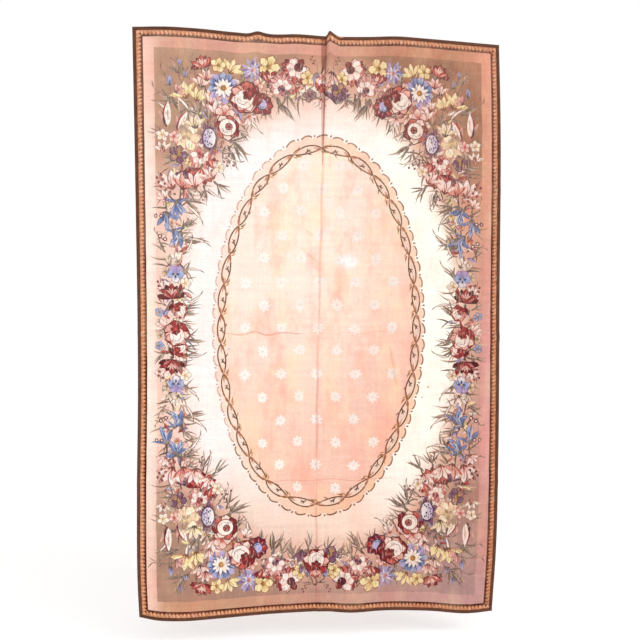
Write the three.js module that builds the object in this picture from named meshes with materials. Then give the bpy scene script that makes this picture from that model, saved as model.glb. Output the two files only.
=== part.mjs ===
// Wall tapestry of 5 by 8 feet: one flat-woven wool panel whose four edges are bound with a sewn
// dark-brown tape. It hangs by its top edge and shows the folds that it was stored in.
// Millimetres, +Z up, the woven front faces -Y. The origin is at the middle of the top edge.
import * as THREE from 'three';

// Driving dimensions
const WIDTH = 1524; // 5 feet, across
const DROP = 2438; // 8 feet, top edge to lower edge
const CLOTH = 3; // thickness of the wool flatweave
const TAPE_WIDTH = 12; // what the edge tape covers, on the front and on the back
const TAPE = 1.2; // thickness of the tape
const GAP = 0.3; // running gap between the tape and the cloth
const LONGEST_STEP = 84; // longest facet of the panel
const SLOPE_STEP = 3; // distance over which the cloth's slope is read

// The pinch where the top edge is held at its middle: a ridge towards the front with a steep left
// flank, which also lifts the edge and fades out downwards into the centre crease. "peak" and "foot"
// are distances to the right of the crease, and "hollow" is how much the right flank sags in.
const PINCH = { peak: 14, foot: 60, hollow: 1.4, height: 18, heightFade: 250, lift: 20, liftFade: 130 };
const CREASE = 3; // height of the centre crease below the pinch

// Creases across the cloth, from being folded in four: the drop at which each lies
const CROSS_FOLDS = [
  { drop: 612, height: 2 },
  { drop: 1240, height: 5 },
  { drop: 1866, height: 3.5 },
];
const CROSS_FOLD_REACH = 34; // from the ridge of a cross fold to where it has flattened out
const RIPPLE = { top: 2, hem: 6, wave: 690 }; // slow ripples, stronger towards the free hem

// How far each edge strays from the straight cut: up or down for the top and bottom, sideways for
// the two sides. "along" runs across from the middle, or down from the top edge.
const TOP_EDGE = [
  { along: -762, stray: 11 },
  { along: -640, stray: 16 },
  { along: -498, stray: 12 },
  { along: -361, stray: 3 },
  { along: -307, stray: 2 },
  { along: -274, stray: 11 },
  { along: -243, stray: 4 },
  { along: -110, stray: 5 },
  { along: 0, stray: 0 },
  { along: 180, stray: 3 },
  { along: 314, stray: 10 },
  { along: 434, stray: 6 },
  { along: 762, stray: -11 },
];
const BOTTOM_EDGE = [
  { along: -762, stray: 8 },
  { along: -690, stray: -7 },
  { along: -600, stray: -12 },
  { along: -424, stray: -6 },
  { along: -127, stray: 5 },
  { along: 45, stray: 9 },
  { along: 150, stray: 1 },
  { along: 272, stray: 5 },
  { along: 488, stray: -7 },
  { along: 664, stray: -22 },
  { along: 762, stray: -12 },
];
const LEFT_EDGE = [
  { along: 0, stray: -7 },
  { along: 680, stray: 3 },
  { along: 1500, stray: 9 },
  { along: 1930, stray: 3 },
  { along: 2340, stray: 6 },
  { along: 2438, stray: 11 },
];
const RIGHT_EDGE = [
  { along: 0, stray: -6 },
  { along: 240, stray: 4 },
  { along: 1090, stray: 15 },
  { along: 1740, stray: 21 },
  { along: 2180, stray: 17 },
  { along: 2438, stray: 3 },
];
// Where the centre crease runs: its distance to the right of the middle
const CREASE_LINE = [
  { along: 0, stray: 22 },
  { along: 370, stray: 13 },
  { along: 1000, stray: 0 },
  { along: 1600, stray: -7 },
  { along: 2438, stray: -7 },
];

const HALF = WIDTH / 2;

// A smooth curve through a table's rows, level beyond its ends
function curve(table) {
  const line = new THREE.CubicInterpolant(
    table.map((row) => row.along),
    table.map((row) => row.stray),
    1,
  );
  return (along) => line.evaluate(along)[0];
}
const topStray = curve(TOP_EDGE);
const bottomStray = curve(BOTTOM_EDGE);
const leftStray = curve(LEFT_EDGE);
const rightStray = curve(RIGHT_EDGE);
const creaseStray = curve(CREASE_LINE);

// 1 on the ridge of the pinch, 0 at its two feet. The left foot is the crease line itself.
function pinchShape(across) {
  if (across <= 0 || across >= PINCH.foot) return 0;
  if (across < PINCH.peak) return THREE.MathUtils.smoothstep(across, 0, PINCH.peak);
  return ((PINCH.foot - across) / (PINCH.foot - PINCH.peak)) ** PINCH.hollow;
}

// 1 on the ridge of a cross fold, 0 where it has flattened out
function foldShape(distance) {
  return Math.max(0, 1 - Math.abs(distance) / CROSS_FOLD_REACH);
}

// How far the cloth stands out towards the front at a place on it
function relief(across, drop) {
  const below = Math.max(drop, TAPE_WIDTH); // the bound edge is too stiff to change along its width
  const ridge = CREASE + (PINCH.height - CREASE) * Math.exp(-below / PINCH.heightFade);
  let out = ridge * pinchShape(across);
  for (const fold of CROSS_FOLDS) out += fold.height * foldShape(drop - fold.drop);
  const swing = THREE.MathUtils.lerp(RIPPLE.top, RIPPLE.hem, below / DROP);
  return out + swing * Math.sin((2 * Math.PI * across) / RIPPLE.wave);
}

// The middle of the cloth's thickness at a place on it: "across" from the centre crease and "drop"
// from the top edge, both measured on the cloth
function middle(across, drop) {
  const side = (across + HALF) / WIDTH;
  const left = -HALF + leftStray(drop);
  const right = HALF + rightStray(drop);
  const lean = creaseStray(drop) - (left + right) / 2;
  const x = THREE.MathUtils.lerp(left, right, side) + lean * (1 - Math.abs(across) / HALF);
  const hang = THREE.MathUtils.lerp(topStray(across), bottomStray(across) - DROP, drop / DROP);
  const below = Math.max(drop, TAPE_WIDTH);
  const lift = PINCH.lift * pinchShape(across) * Math.exp(-below / PINCH.liftFade);
  return new THREE.Vector3(x, -relief(across, drop), hang + lift);
}

// The direction out of the back of the cloth
function backward(across, drop) {
  const [before, after] = [across - SLOPE_STEP, across + SLOPE_STEP];
  const [above, below] = [drop - SLOPE_STEP, drop + SLOPE_STEP];
  const alongAcross = middle(after, drop).sub(middle(before, drop));
  const alongDrop = middle(across, below).sub(middle(across, above));
  return alongAcross.cross(alongDrop).normalize();
}

// A point on the cloth's middle, moved out of its back by "out", or out of its front if negative
function place(across, drop, out) {
  return middle(across, drop).addScaledVector(backward(across, drop), out);
}

// Stations in rising order: each mark is one, and the stretches between are cut evenly
function stations(marks) {
  const sorted = [...new Set(marks)].sort((a, b) => a - b);
  const all = [sorted[0]];
  for (let i = 1; i < sorted.length; i += 1) {
    const stretch = sorted[i] - sorted[i - 1];
    const parts = Math.ceil(stretch / LONGEST_STEP);
    for (let part = 1; part <= parts; part += 1) all.push(sorted[i - 1] + (stretch * part) / parts);
  }
  return all;
}

// The panel's grid: at the tape, at the small rise in the top edge, round the pinch, at the folds
const EDGE_RISE = [-307, -274, -243];
const steepFlank = [0, 0.25, 0.5, 0.75, 1].map((part) => part * PINCH.peak);
const easyFlank = [20, 29, 42, PINCH.foot];
const pinchFade = [60, 120, 200, 290];
const columns = stations([
  ...[-HALF, TAPE_WIDTH - HALF, HALF - TAPE_WIDTH, HALF],
  ...EDGE_RISE,
  ...steepFlank,
  ...easyFlank,
]);
const rows = stations([
  ...[0, TAPE_WIDTH, DROP - TAPE_WIDTH, DROP],
  ...pinchFade,
  ...CROSS_FOLDS.flatMap(({ drop }) => [drop - CROSS_FOLD_REACH, drop, drop + CROSS_FOLD_REACH]),
]);

function meshOf(name, points, triangles, material) {
  const geometry = new THREE.BufferGeometry().setFromPoints(points);
  geometry.setIndex(triangles);
  geometry.computeVertexNormals();
  const mesh = new THREE.Mesh(geometry, material);
  mesh.name = name;
  return mesh;
}

// The woven panel: a front and a back skin over the same grid, joined round the edge
function wovenPanel(material) {
  const points = [];
  for (const out of [-CLOTH / 2, CLOTH / 2]) {
    for (const drop of rows) for (const across of columns) points.push(place(across, drop, out));
  }
  const wide = columns.length;
  const skin = wide * rows.length;
  const triangles = [];
  for (let row = 0; row + 1 < rows.length; row += 1) {
    for (let column = 0; column + 1 < wide; column += 1) {
      const a = row * wide + column;
      const [b, c, d] = [a + 1, a + wide + 1, a + wide];
      triangles.push(a, d, c, a, c, b);
      triangles.push(a + skin, b + skin, d + skin, b + skin, c + skin, d + skin);
    }
  }
  const rim = [];
  for (let column = 0; column < wide; column += 1) rim.push(column);
  for (let row = 1; row < rows.length; row += 1) rim.push(row * wide + wide - 1);
  for (let column = wide - 2; column >= 0; column -= 1) rim.push(skin - wide + column);
  for (let row = rows.length - 2; row > 0; row -= 1) rim.push(row * wide);
  rim.forEach((a, i) => {
    const b = rim[(i + 1) % rim.length];
    triangles.push(a, b, a + skin, b, b + skin, a + skin);
  });
  return meshOf('woven_panel', points, triangles, material);
}

// A length of edge tape, folded over the edge of the cloth. Each stop on its way gives a place on
// the cloth for a distance measured inwards from the edge.
function edgeTape(name, stops, material) {
  const inside = CLOTH / 2 + GAP;
  const outside = inside + TAPE;
  const section = [
    { inward: TAPE_WIDTH, out: -inside },
    { inward: TAPE_WIDTH, out: -outside },
    { inward: -GAP - TAPE, out: -outside },
    { inward: -GAP - TAPE, out: outside },
    { inward: TAPE_WIDTH, out: outside },
    { inward: TAPE_WIDTH, out: inside },
    { inward: -GAP, out: inside },
    { inward: -GAP, out: -inside },
  ];
  const points = stops.flatMap((stop) =>
    section.map(({ inward, out }) => place(...stop(inward), out)),
  );
  const count = section.length;
  const triangles = [];
  for (let stop = 0; stop + 1 < stops.length; stop += 1) {
    for (let corner = 0; corner < count; corner += 1) {
      const a = stop * count + corner;
      const b = stop * count + ((corner + 1) % count);
      triangles.push(a, b + count, b, a, a + count, b + count);
    }
  }
  const end = (stops.length - 1) * count;
  const outline = section.map(({ inward, out }) => new THREE.Vector2(inward, out));
  for (const [a, b, c] of THREE.ShapeUtils.triangulateShape(outline, [])) {
    triangles.push(a, c, b, end + a, end + b, end + c);
  }
  return meshOf(name, points, triangles, material);
}

// The top and bottom tapes run over the corners, and the side tapes butt against them.
const sideways = [-HALF - GAP - TAPE, ...columns, HALF + GAP + TAPE];
const downwards = [
  TAPE_WIDTH + GAP,
  ...rows.filter((drop) => drop > TAPE_WIDTH + GAP && drop < DROP - TAPE_WIDTH - GAP),
  DROP - TAPE_WIDTH - GAP,
];
const TAPES = {
  edge_binding_top: sideways.map((across) => (inward) => [across, inward]),
  edge_binding_right: downwards.map((drop) => (inward) => [HALF - inward, drop]),
  edge_binding_bottom: sideways.toReversed().map((across) => (inward) => [across, DROP - inward]),
  edge_binding_left: downwards.toReversed().map((drop) => (inward) => [inward - HALF, drop]),
};

const wool = new THREE.MeshStandardMaterial({ color: '#ecc9b6', roughness: 0.95, metalness: 0 });
const brownTape = new THREE.MeshStandardMaterial({ color: '#4a2a1c', roughness: 0.9, metalness: 0 });
wool.name = 'woven wool';
brownTape.name = 'brown edge tape';

const tapestry = new THREE.Group();
tapestry.name = 'wall_tapestry';
tapestry.add(wovenPanel(wool));
for (const [name, stops] of Object.entries(TAPES)) tapestry.add(edgeTape(name, stops, brownTape));

export default tapestry;
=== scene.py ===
"""Wall tapestry: a flat-woven wool cloth with a flower wreath, bound with sewn tape, hanging.

Run as a script. The cloth is one closed sheet. Its design is drawn first as a cartoon, coloured
areas laid one over another on the flat cloth, and then woven into the sheet's own faces.
"""
import math
import random

import bmesh
import bpy
import numpy as np
from bpy.props import FloatProperty, FloatVectorProperty, IntProperty, PointerProperty
from bpy.types import Operator, Panel, PropertyGroup
from mathutils import Matrix, Vector
from mathutils.geometry import delaunay_2d_cdt


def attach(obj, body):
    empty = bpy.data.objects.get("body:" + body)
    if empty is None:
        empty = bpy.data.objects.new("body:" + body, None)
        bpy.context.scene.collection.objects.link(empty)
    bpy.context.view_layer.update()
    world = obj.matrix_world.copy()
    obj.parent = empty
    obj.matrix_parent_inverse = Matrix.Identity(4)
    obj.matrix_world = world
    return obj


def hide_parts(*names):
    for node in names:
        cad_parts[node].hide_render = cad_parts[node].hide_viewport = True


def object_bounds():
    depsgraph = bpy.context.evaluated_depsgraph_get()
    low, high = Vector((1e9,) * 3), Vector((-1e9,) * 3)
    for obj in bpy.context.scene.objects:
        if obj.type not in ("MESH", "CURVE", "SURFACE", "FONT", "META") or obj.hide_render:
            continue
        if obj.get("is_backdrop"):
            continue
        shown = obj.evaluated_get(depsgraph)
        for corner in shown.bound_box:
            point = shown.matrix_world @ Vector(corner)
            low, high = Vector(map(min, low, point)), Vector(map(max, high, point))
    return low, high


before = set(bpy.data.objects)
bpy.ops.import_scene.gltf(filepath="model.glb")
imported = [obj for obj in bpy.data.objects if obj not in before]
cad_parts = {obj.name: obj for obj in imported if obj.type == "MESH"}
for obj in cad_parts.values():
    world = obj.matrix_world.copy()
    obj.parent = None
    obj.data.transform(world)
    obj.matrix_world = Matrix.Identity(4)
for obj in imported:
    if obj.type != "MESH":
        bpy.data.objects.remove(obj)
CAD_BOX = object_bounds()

bl_info = {
    "name": "Wall Tapestry",
    "version": (1, 0, 0),
    "blender": (4, 5, 0),
    "location": "View3D > Sidebar > Tapestry",
    "description": "Builds a flat-woven flower tapestry with its edge tapes and its stage",
    "category": "Add Mesh",
}

MM = 0.001

# The stage, in metres and degrees. A light has its name, place, side and power.
CAMERA = {"lens": 45.0, "sensor": 36.0, "place": (-0.3188, -3.3581, -1.0190),
          "yaw": -5.472, "pitch": -2.699, "roll": -0.366}
FLOOR = {"reach": 14.0, "below": 0.1}
LIGHTS = (("key", (3.2, -2.2, 0.6), 1.8, 48.0), ("fill", (-2.8, -3.4, -0.4), 3.0, 24.0))


def linear(hex_colour):
    """The linear RGB of an sRGB hex colour."""
    parts = [int(hex_colour[i:i + 2], 16) / 255 for i in (1, 3, 5)]
    return tuple(p / 12.92 if p <= 0.04045 else ((p + 0.055) / 1.055) ** 2.4 for p in parts)


# Dyes of the wool, by name, as the flowers and leaves use them
DYES = {
    "white": "#fffaf2", "cream": "#fdeede", "ivory": "#f8dfc6", "blush": "#f2bfae",
    "rose": "#d98e86", "coral": "#d4685a", "madder": "#b03a3a", "crimson": "#8c1622",
    "garnet": "#560c18", "straw": "#f3dc9c", "butter": "#fbf0bc", "gold": "#d9a24c",
    "rust": "#a8602c", "sky": "#b0bfe0", "blue": "#7e98cc", "deep_blue": "#4c6598",
    "navy": "#26305c", "lilac": "#c3b2dc", "violet": "#8b7bb6", "mauve": "#8d6478",
    "plum": "#6a3a58", "aubergine": "#33203f", "sage": "#968a7e", "olive": "#706358",
    "moss": "#584c45", "bark": "#5a4438", "taupe": "#a58873", "sand": "#cdae96",
    "vine": "#6a4026", "vine_light": "#c98a58", "knot": "#c47a5e",
    "scallop": "#a27c68", "stroke": "#8c5c40", "faded": "#dcb8a6",
}


# How the cloth hangs, in millimetres. Each row is (along, stray): how far an edge strays from the
# straight cut, along its run from the middle or down from the top edge.
TOP_EDGE = (
    (-762, 11), (-640, 16), (-498, 12), (-361, 3), (-307, 2), (-274, 11), (-243, 4),
    (-110, 5), (0, 0), (180, 3), (314, 10), (434, 6), (762, -11),
)
BOTTOM_EDGE = (
    (-762, 8), (-690, -7), (-600, -12), (-424, -6), (-127, 5), (45, 9), (150, 1),
    (272, 5), (488, -7), (664, -22), (762, -12),
)
LEFT_EDGE = ((0, -7), (680, 3), (1500, 9), (1930, 3), (2340, 6), (2438, 11))
RIGHT_EDGE = ((0, -6), (240, 4), (1090, 15), (1740, 21), (2180, 17), (2438, 3))
CREASE_LINE = ((0, 22), (370, 13), (1000, 0), (1600, -7), (2438, -7))

PINCH = {"peak": 14, "foot": 60, "hollow": 1.4, "height": 18, "height_fade": 250,
         "lift": 20, "lift_fade": 130}
CREASE = 3
CROSS_FOLDS = ((612, 2), (1240, 5), (1866, 3.5))  # drop, height
CROSS_FOLD_REACH = 34
RIPPLE = {"top": 2, "hem": 6, "wave": 690}
# Small sharp creases: from across and drop, to across and drop, half width, height to the front
SMALL_CREASES = (
    (-412, 1236, -60, 1241, 7, -3.0),
    (-82, 790, -4, 850, 7, 2.4),
    (-84, 872, -6, 942, 7, 2.0),
    (292, 1262, 338, 1475, 16, 5.0),
    (250, 1200, 330, 1262, 12, -2.5),
    (-180, 1868, 330, 1858, 9, -2.2),
)


def curve(rows):
    """A smooth curve through the rows of a table, level beyond its ends."""
    at, value = np.array(rows, float).T
    slope = np.gradient(value, at)

    def read(along):
        along = np.clip(along, at[0], at[-1])
        i = np.clip(np.searchsorted(at, along) - 1, 0, len(at) - 2)
        run = at[i + 1] - at[i]
        t = (along - at[i]) / run
        start = (2 * t ** 3 - 3 * t ** 2 + 1) * value[i] + (t ** 3 - 2 * t ** 2 + t) * run * slope[i]
        end = (3 * t ** 2 - 2 * t ** 3) * value[i + 1] + (t ** 3 - t ** 2) * run * slope[i + 1]
        return start + end

    return read


top_stray, bottom_stray, left_stray, right_stray, crease_stray = map(
    curve, (TOP_EDGE, BOTTOM_EDGE, LEFT_EDGE, RIGHT_EDGE, CREASE_LINE))


def smooth(low, high, value):
    """0 below low, 1 above high, and a smooth step between."""
    t = np.clip((value - low) / (high - low), 0, 1)
    return t * t * (3 - 2 * t)


def pinch_shape(across):
    """1 on the ridge of the pinch, 0 at its feet."""
    steep = smooth(0, PINCH["peak"], across)
    fall = np.clip((PINCH["foot"] - across) / (PINCH["foot"] - PINCH["peak"]), 0, 1)
    return np.where(across < PINCH["peak"], steep, fall ** PINCH["hollow"])


def small_creases(across, drop):
    """The height of the small sharp creases at places on the cloth."""
    out = np.zeros_like(across)
    for a0, d0, a1, d1, half, height in SMALL_CREASES:
        run = np.array([a1 - a0, d1 - d0], float)
        length = np.hypot(*run)
        run /= length
        ahead = (across - a0) * run[0] + (drop - d0) * run[1]
        wander = 4 * np.sin(ahead / 31.0) + 2 * np.sin(ahead / 11.0)
        aside = (drop - d0) * run[0] - (across - a0) * run[1] + wander
        ends = smooth(0, 40, ahead) * smooth(0, 40, length - ahead)
        out += height * ends * np.exp(-(aside / half) ** 2)
    return out


class Hang:
    """The hanging cloth: turns a place on the flat cloth, in mm, into a point in mm."""

    SLOPE_STEP = 3.0

    def __init__(self, width, drop, bound):
        self.width, self.drop, self.bound = width, drop, bound

    def middle(self, across, drop):
        """Points on the cloth's middle, with its strayed edges, its pinch and its folds."""
        half = self.width / 2
        left, right = -half + left_stray(drop), half + right_stray(drop)
        lean = crease_stray(drop) - (left + right) / 2
        x = left + (right - left) * (across + half) / self.width
        x = x + lean * (1 - np.abs(across) / half)
        share = drop / self.drop
        hang = top_stray(across) * (1 - share) + (bottom_stray(across) - self.drop) * share
        below = np.maximum(drop, self.bound)
        shape = pinch_shape(across)
        lift = PINCH["lift"] * shape * np.exp(-below / PINCH["lift_fade"])
        return np.stack([x, -self.relief(across, drop, below, shape), hang + lift], -1)

    def relief(self, across, drop, below, shape):
        """How far the cloth stands out to the front of its flat plane."""
        ridge = CREASE + (PINCH["height"] - CREASE) * np.exp(-below / PINCH["height_fade"])
        out = ridge * shape
        for fold_drop, height in CROSS_FOLDS:
            out = out + height * np.clip(1 - np.abs(drop - fold_drop) / CROSS_FOLD_REACH, 0, 1) ** 1.3
        swing = RIPPLE["top"] + (RIPPLE["hem"] - RIPPLE["top"]) * below / self.drop
        out = out + swing * np.sin(2 * np.pi * across / RIPPLE["wave"])
        return out + small_creases(across, drop)

    def backward(self, across, drop):
        """The directions square to the cloth, out of its back."""
        s = self.SLOPE_STEP
        a = self.middle(across + s, drop) - self.middle(across - s, drop)
        d = self.middle(across, drop + s) - self.middle(across, drop - s)
        n = np.cross(a, d)
        return n / np.linalg.norm(n, axis=-1, keepdims=True)

    def place(self, across, drop, out):
        """Points on the cloth's middle moved out of its back by out, or of its front if below 0."""
        across, drop = np.asarray(across, float), np.asarray(drop, float)
        return self.middle(across, drop) + self.backward(across, drop) * np.asarray(out)[..., None]


class Spot:
    """A place on the flat cloth with a heading. It draws in its own axes: x ahead, y to the left.

    Heading 0 is to the right and 90 is up. stretch scales what is drawn, and mirrors it if
    negative.
    """

    def __init__(self, across, drop, heading=0.0, stretch=(1.0, 1.0)):
        self.x, self.y, self.heading, self.stretch = across, -drop, heading, stretch
        turn = math.radians(heading)
        self.cos, self.sin = math.cos(turn), math.sin(turn)

    def at(self, x, y):
        """The point at x, y of this spot, across and up the flat cloth."""
        return (self.x + self.stretch[0] * (x * self.cos - y * self.sin),
                self.y + self.stretch[1] * (x * self.sin + y * self.cos))

    def step(self, x=0.0, y=0.0, turn=0.0):
        """A spot at x, y of this one, with its heading turned."""
        px, py = self.at(x, y)
        return Spot(px, -py, self.heading + turn, self.stretch)

    def squeezed(self, across, drop):
        """The same spot with what it draws scaled across and down."""
        return Spot(self.x, -self.y, self.heading, (self.stretch[0] * across, self.stretch[1] * drop))


# What an area is woven as: a hatched shape, an even one, or one of the four dyed grounds
HATCHED, EVEN = -1, -2
BAND, FIELD, MIDDLE, PEACH = range(4)
# How strongly clouds of other dye show in each. Hatching shows only below the share of EVEN.
MOTTLING = {HATCHED: 0.12, EVEN: 0.3, BAND: 0.45, FIELD: 0.35, MIDDLE: 1.0, PEACH: 0.5}


class Cartoon:
    """The weaver's cartoon: coloured areas laid one over another on the flat cloth, in mm.

    finer sets how many points a curve gets, and least the smallest area that is kept, in mm2. An
    area has one dye, or two that pass into each other from a start to an end point. The colours
    of a dyed ground come from ground_colour instead.
    """

    def __init__(self, finer, least):
        self.finer, self.least = finer, least
        self.points, self.outlines, self.soil, self.clear, self.stars = [], [], [], {}, []
        self.near, self.far, self.start, self.end, self.ground = [], [], [], [], []

    def lay(self, outline, near, far=None, start=(0, 0), end=(1, 0), ground=HATCHED, clear=0):
        """Lay an area. With clear its edge is sharp on the back too, through every clear-th point."""
        x, y = np.array(outline).T
        turned = np.dot(x, np.roll(y, -1)) - np.dot(y, np.roll(x, -1))
        if abs(turned) < 2 * self.least:
            return
        if turned < 0:
            outline = outline[::-1]
        first = len(self.points)
        self.points.extend(outline)
        if clear:
            self.clear[len(self.outlines)] = clear
        self.outlines.append(range(first, len(self.points)))
        self.near.append(linear(DYES.get(near, near)))
        self.far.append(linear(DYES.get(far or near, far or near)))
        self.start.append(start)
        self.end.append(end)
        self.ground.append(ground)

    def lay_shade_and_stain(self, line, widths, tint):
        """A line over what is woven there, which its tint dyes through. It paints shade and highlights
        along the folds, and lays dark spots and a washed-out spot.
        """
        line, widths = np.array(line, float), np.array(widths, float)[:, None] / 2
        ahead = np.gradient(line, axis=0)
        aside = np.stack([-ahead[:, 1], ahead[:, 0]], 1) / np.hypot(*ahead.T)[:, None]
        self.soil.append((np.concatenate([line + aside * widths, (line - aside * widths)[::-1]]), tint))

    def steps(self, size):
        """How many points half an outline of that size gets."""
        return max(3, round(self.finer * (2.6 + size / 10.0)))

    def petal(self, spot, length, width, near, far=None, full=1.5, blunt=0.8, bend=0.0,
              start=0.0, ground=HATCHED):
        """A petal, leaf or stroke that starts ahead of the spot.

        full sets how far out it is widest, blunt how blunt its ends are (low is blunter), and bend
        how far its tip curves to the left for its length.
        """
        n = self.steps(length)
        ts = [i / n for i in range(n + 1)]
        half = [0.5 * width * max(0.0, math.sin(math.pi * t ** full)) ** blunt for t in ts]
        half[0] = half[-1] = 0.0
        line = [(start + length * t, bend * length * t * t) for t in ts]
        left = [spot.at(x, y + h) for (x, y), h in zip(line, half)]
        right = [spot.at(x, y - h) for (x, y), h in zip(line[1:-1], half[1:-1])]
        self.lay(left + right[::-1], near, far, spot.at(start, 0), spot.at(start + length, 0), ground)

    def disc(self, spot, radius, near, far=None, ground=HATCHED):
        """A round area about the spot."""
        n = max(5, round(self.finer * 4.2 * math.sqrt(radius)))
        turns = [2 * math.pi * i / n for i in range(n)]
        outline = [spot.at(radius * math.cos(a), radius * math.sin(a)) for a in turns]
        self.lay(outline, near, far, spot.at(-radius, 0), spot.at(radius, 0), ground)

    def fan(self, spot, count, spread, length, width, dyes, edge=None, rng=None, wobble=0.08, **shape):
        """Petals spread about a spot's heading, or all round it if spread is 360.

        dyes are (near, far) pairs that repeat. edge is a dye that shows round each petal.
        """
        for k in range(count):
            if spread == 360:
                turn = 360 * k / count
            else:
                turn = spread * (k / max(1, count - 1) - 0.5)
            reach = length
            if rng:
                reach *= rng.uniform(1 - wobble, 1 + wobble)
                turn += rng.uniform(-60, 60) * wobble
            near, far = dyes[k % len(dyes)]
            if edge:
                self.petal(spot.step(turn=turn), reach * 1.07, width * 1.25, edge, edge, **shape)
            self.petal(spot.step(turn=turn), reach, width, near, far, **shape)


# Flowers and leaves. Each is drawn about a spot, size millimetres from its middle to its rim. All
# of them take rng, used or not, because draw calls them alike.

def spray(c, s, size, rng, dyes=("moss", "sage"), count=5, spread=72):
    """Slender leaves fanned from one stalk, darkest where they meet, some of them pale."""
    tones = ((dyes[0], "taupe"), dyes, (dyes[1], "sand"))
    for k in range(count):
        side = k / (count - 1) - 0.5
        reach = size * rng.uniform(0.72, 1.05) * (1 - 0.5 * abs(side))
        start = s.step(size * 0.2 * rng.random(), 0, 1.2 * spread * side + rng.uniform(-5, 5))
        c.petal(start, reach, 0.11 * reach, *tones[k % 3], full=0.85, blunt=0.9,
                bend=-0.7 * side + rng.uniform(-0.45, 0.45))
    c.petal(s.step(-0.16 * size), 0.36 * size, 0.13 * size, *dyes, full=0.8)


def curl(c, s, size, rng, dyes=("bark", "taupe")):
    """A pale leaf with a dark edge, which turns over at its tip."""
    bend = rng.choice((-1, 1)) * rng.uniform(0.3, 0.5)
    c.petal(s, size, 0.2 * size, *dyes, full=0.9, bend=bend)
    c.petal(s.step(3), size * 0.88, 0.11 * size, "cream", "white", full=0.9, bend=bend)
    tip = s.step(size * 0.9, bend * size * 0.81, math.degrees(math.atan(1.8 * bend)))
    c.petal(tip, 0.4 * size, 5, *dyes, full=0.8, bend=0.8 * bend)


def tendril(c, s, size, rng, dyes=("olive", "taupe")):
    """A long thin curling stem with small leaves."""
    bend = rng.uniform(0.25, 0.5) * rng.choice((-1, 1))
    c.petal(s, size, 4.6, *dyes, full=0.6, blunt=0.4, bend=bend)
    for share in (0.35, 0.6, 0.82):
        side = 1 if rng.random() < 0.5 else -1
        start = s.step(size * share, bend * size * share ** 2, math.degrees(bend * share) + side * 35)
        c.petal(start, size * 0.26, 5.5, *dyes, full=1.0, blunt=0.9, bend=side * 0.2)


def daisy(c, s, size, rng):
    """The large blue daisy with a white star and a gold heart."""
    blues = (("deep_blue", "sky"), ("blue", "lilac"), ("navy", "blue"))
    c.fan(s, 12, 360, size, 0.44 * size, blues, rng=rng, full=1.9, blunt=0.6)
    c.fan(s.step(turn=15), 12, 360, 0.9 * size, 0.1 * size, (("navy", "deep_blue"),), full=1.2)
    c.fan(s.step(turn=-90), 5, 110, 0.96 * size, 0.34 * size, (("violet", "lilac"), ("mauve", "blush")),
          rng=rng, full=1.9, blunt=0.6)
    c.fan(s, 12, 360, 0.68 * size, 0.26 * size, (("navy", "deep_blue"),), full=1.2)
    c.fan(s, 12, 360, 0.64 * size, 0.2 * size, (("ivory", "white"), ("cream", "white")), rng=rng,
          full=1.2)
    c.disc(s, 0.19 * size, "bark", "gold")
    c.fan(s, 6, 360, 0.16 * size, 0.08 * size, (("gold", "rust"),), full=1.0)


def folds(c, s, size, turns=(150, 205, 255)):
    """Curved edges of the petals that close round a cup."""
    for k, turn in enumerate(turns):
        rim = s.step(turn=turn).step(size * (0.8 - 0.16 * k), -0.45 * size, 78)
        c.petal(rim, size, 0.1 * size, "mauve", "rose", full=1.0, blunt=0.8, bend=0.42)


def rose(c, s, size, rng, outer=("crimson", "rose"), cup=("white", "cream"), heart="garnet"):
    """A full rose: dark petals behind, a pale cup low in front, and a dark heart ahead."""
    near, far = outer
    c.fan(s, 7, 360, size, 0.8 * size, ((heart, near), (near, far), (far, "blush")), edge=heart,
          rng=rng, full=1.9, blunt=0.5)
    c.fan(s.step(turn=180), 4, 150, 0.98 * size, 0.5 * size, (("rose", "blush"), ("blush", cup[1])),
          edge=near, rng=rng, full=1.9, blunt=0.55)
    bowl = s.step(-0.14 * size)
    c.disc(bowl, 0.64 * size, near, "rose")
    c.disc(bowl.step(-0.02 * size), 0.59 * size, *cup)
    folds(c, bowl, 0.56 * size)
    centre = s.step(0.3 * size, 0.05 * size)
    c.fan(centre, 6, 360, 0.46 * size, 0.34 * size, ((heart, near), (near, heart)), rng=rng, full=1.6)
    c.disc(centre, 0.26 * size, heart, near)
    c.fan(centre.step(0.16 * size, 0, 180), 3, 90, 0.3 * size, 0.1 * size, (("coral", near),), full=1.4)


def globe(c, s, size, rng):
    """A round white rose seen in its cup, with red crescents behind and a red heart."""
    c.fan(s, 7, 360, size, 0.72 * size, (("garnet", "crimson"), ("crimson", "coral"), ("rose", "cream")),
          edge="garnet", rng=rng, full=1.8, blunt=0.5)
    c.disc(s, 0.7 * size, "crimson", "garnet")
    c.disc(s.step(0.02 * size), 0.64 * size, "cream", "white")
    folds(c, s, 0.58 * size, turns=(200, 262))
    heart = s.step(0.14 * size, 0.02 * size)
    c.disc(heart, 0.31 * size, "aubergine", "crimson")
    c.fan(heart, 5, 360, 0.27 * size, 0.18 * size, (("crimson", "coral"), ("garnet", "rose")), full=1.4)
    c.disc(heart, 0.1 * size, "garnet")


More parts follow.
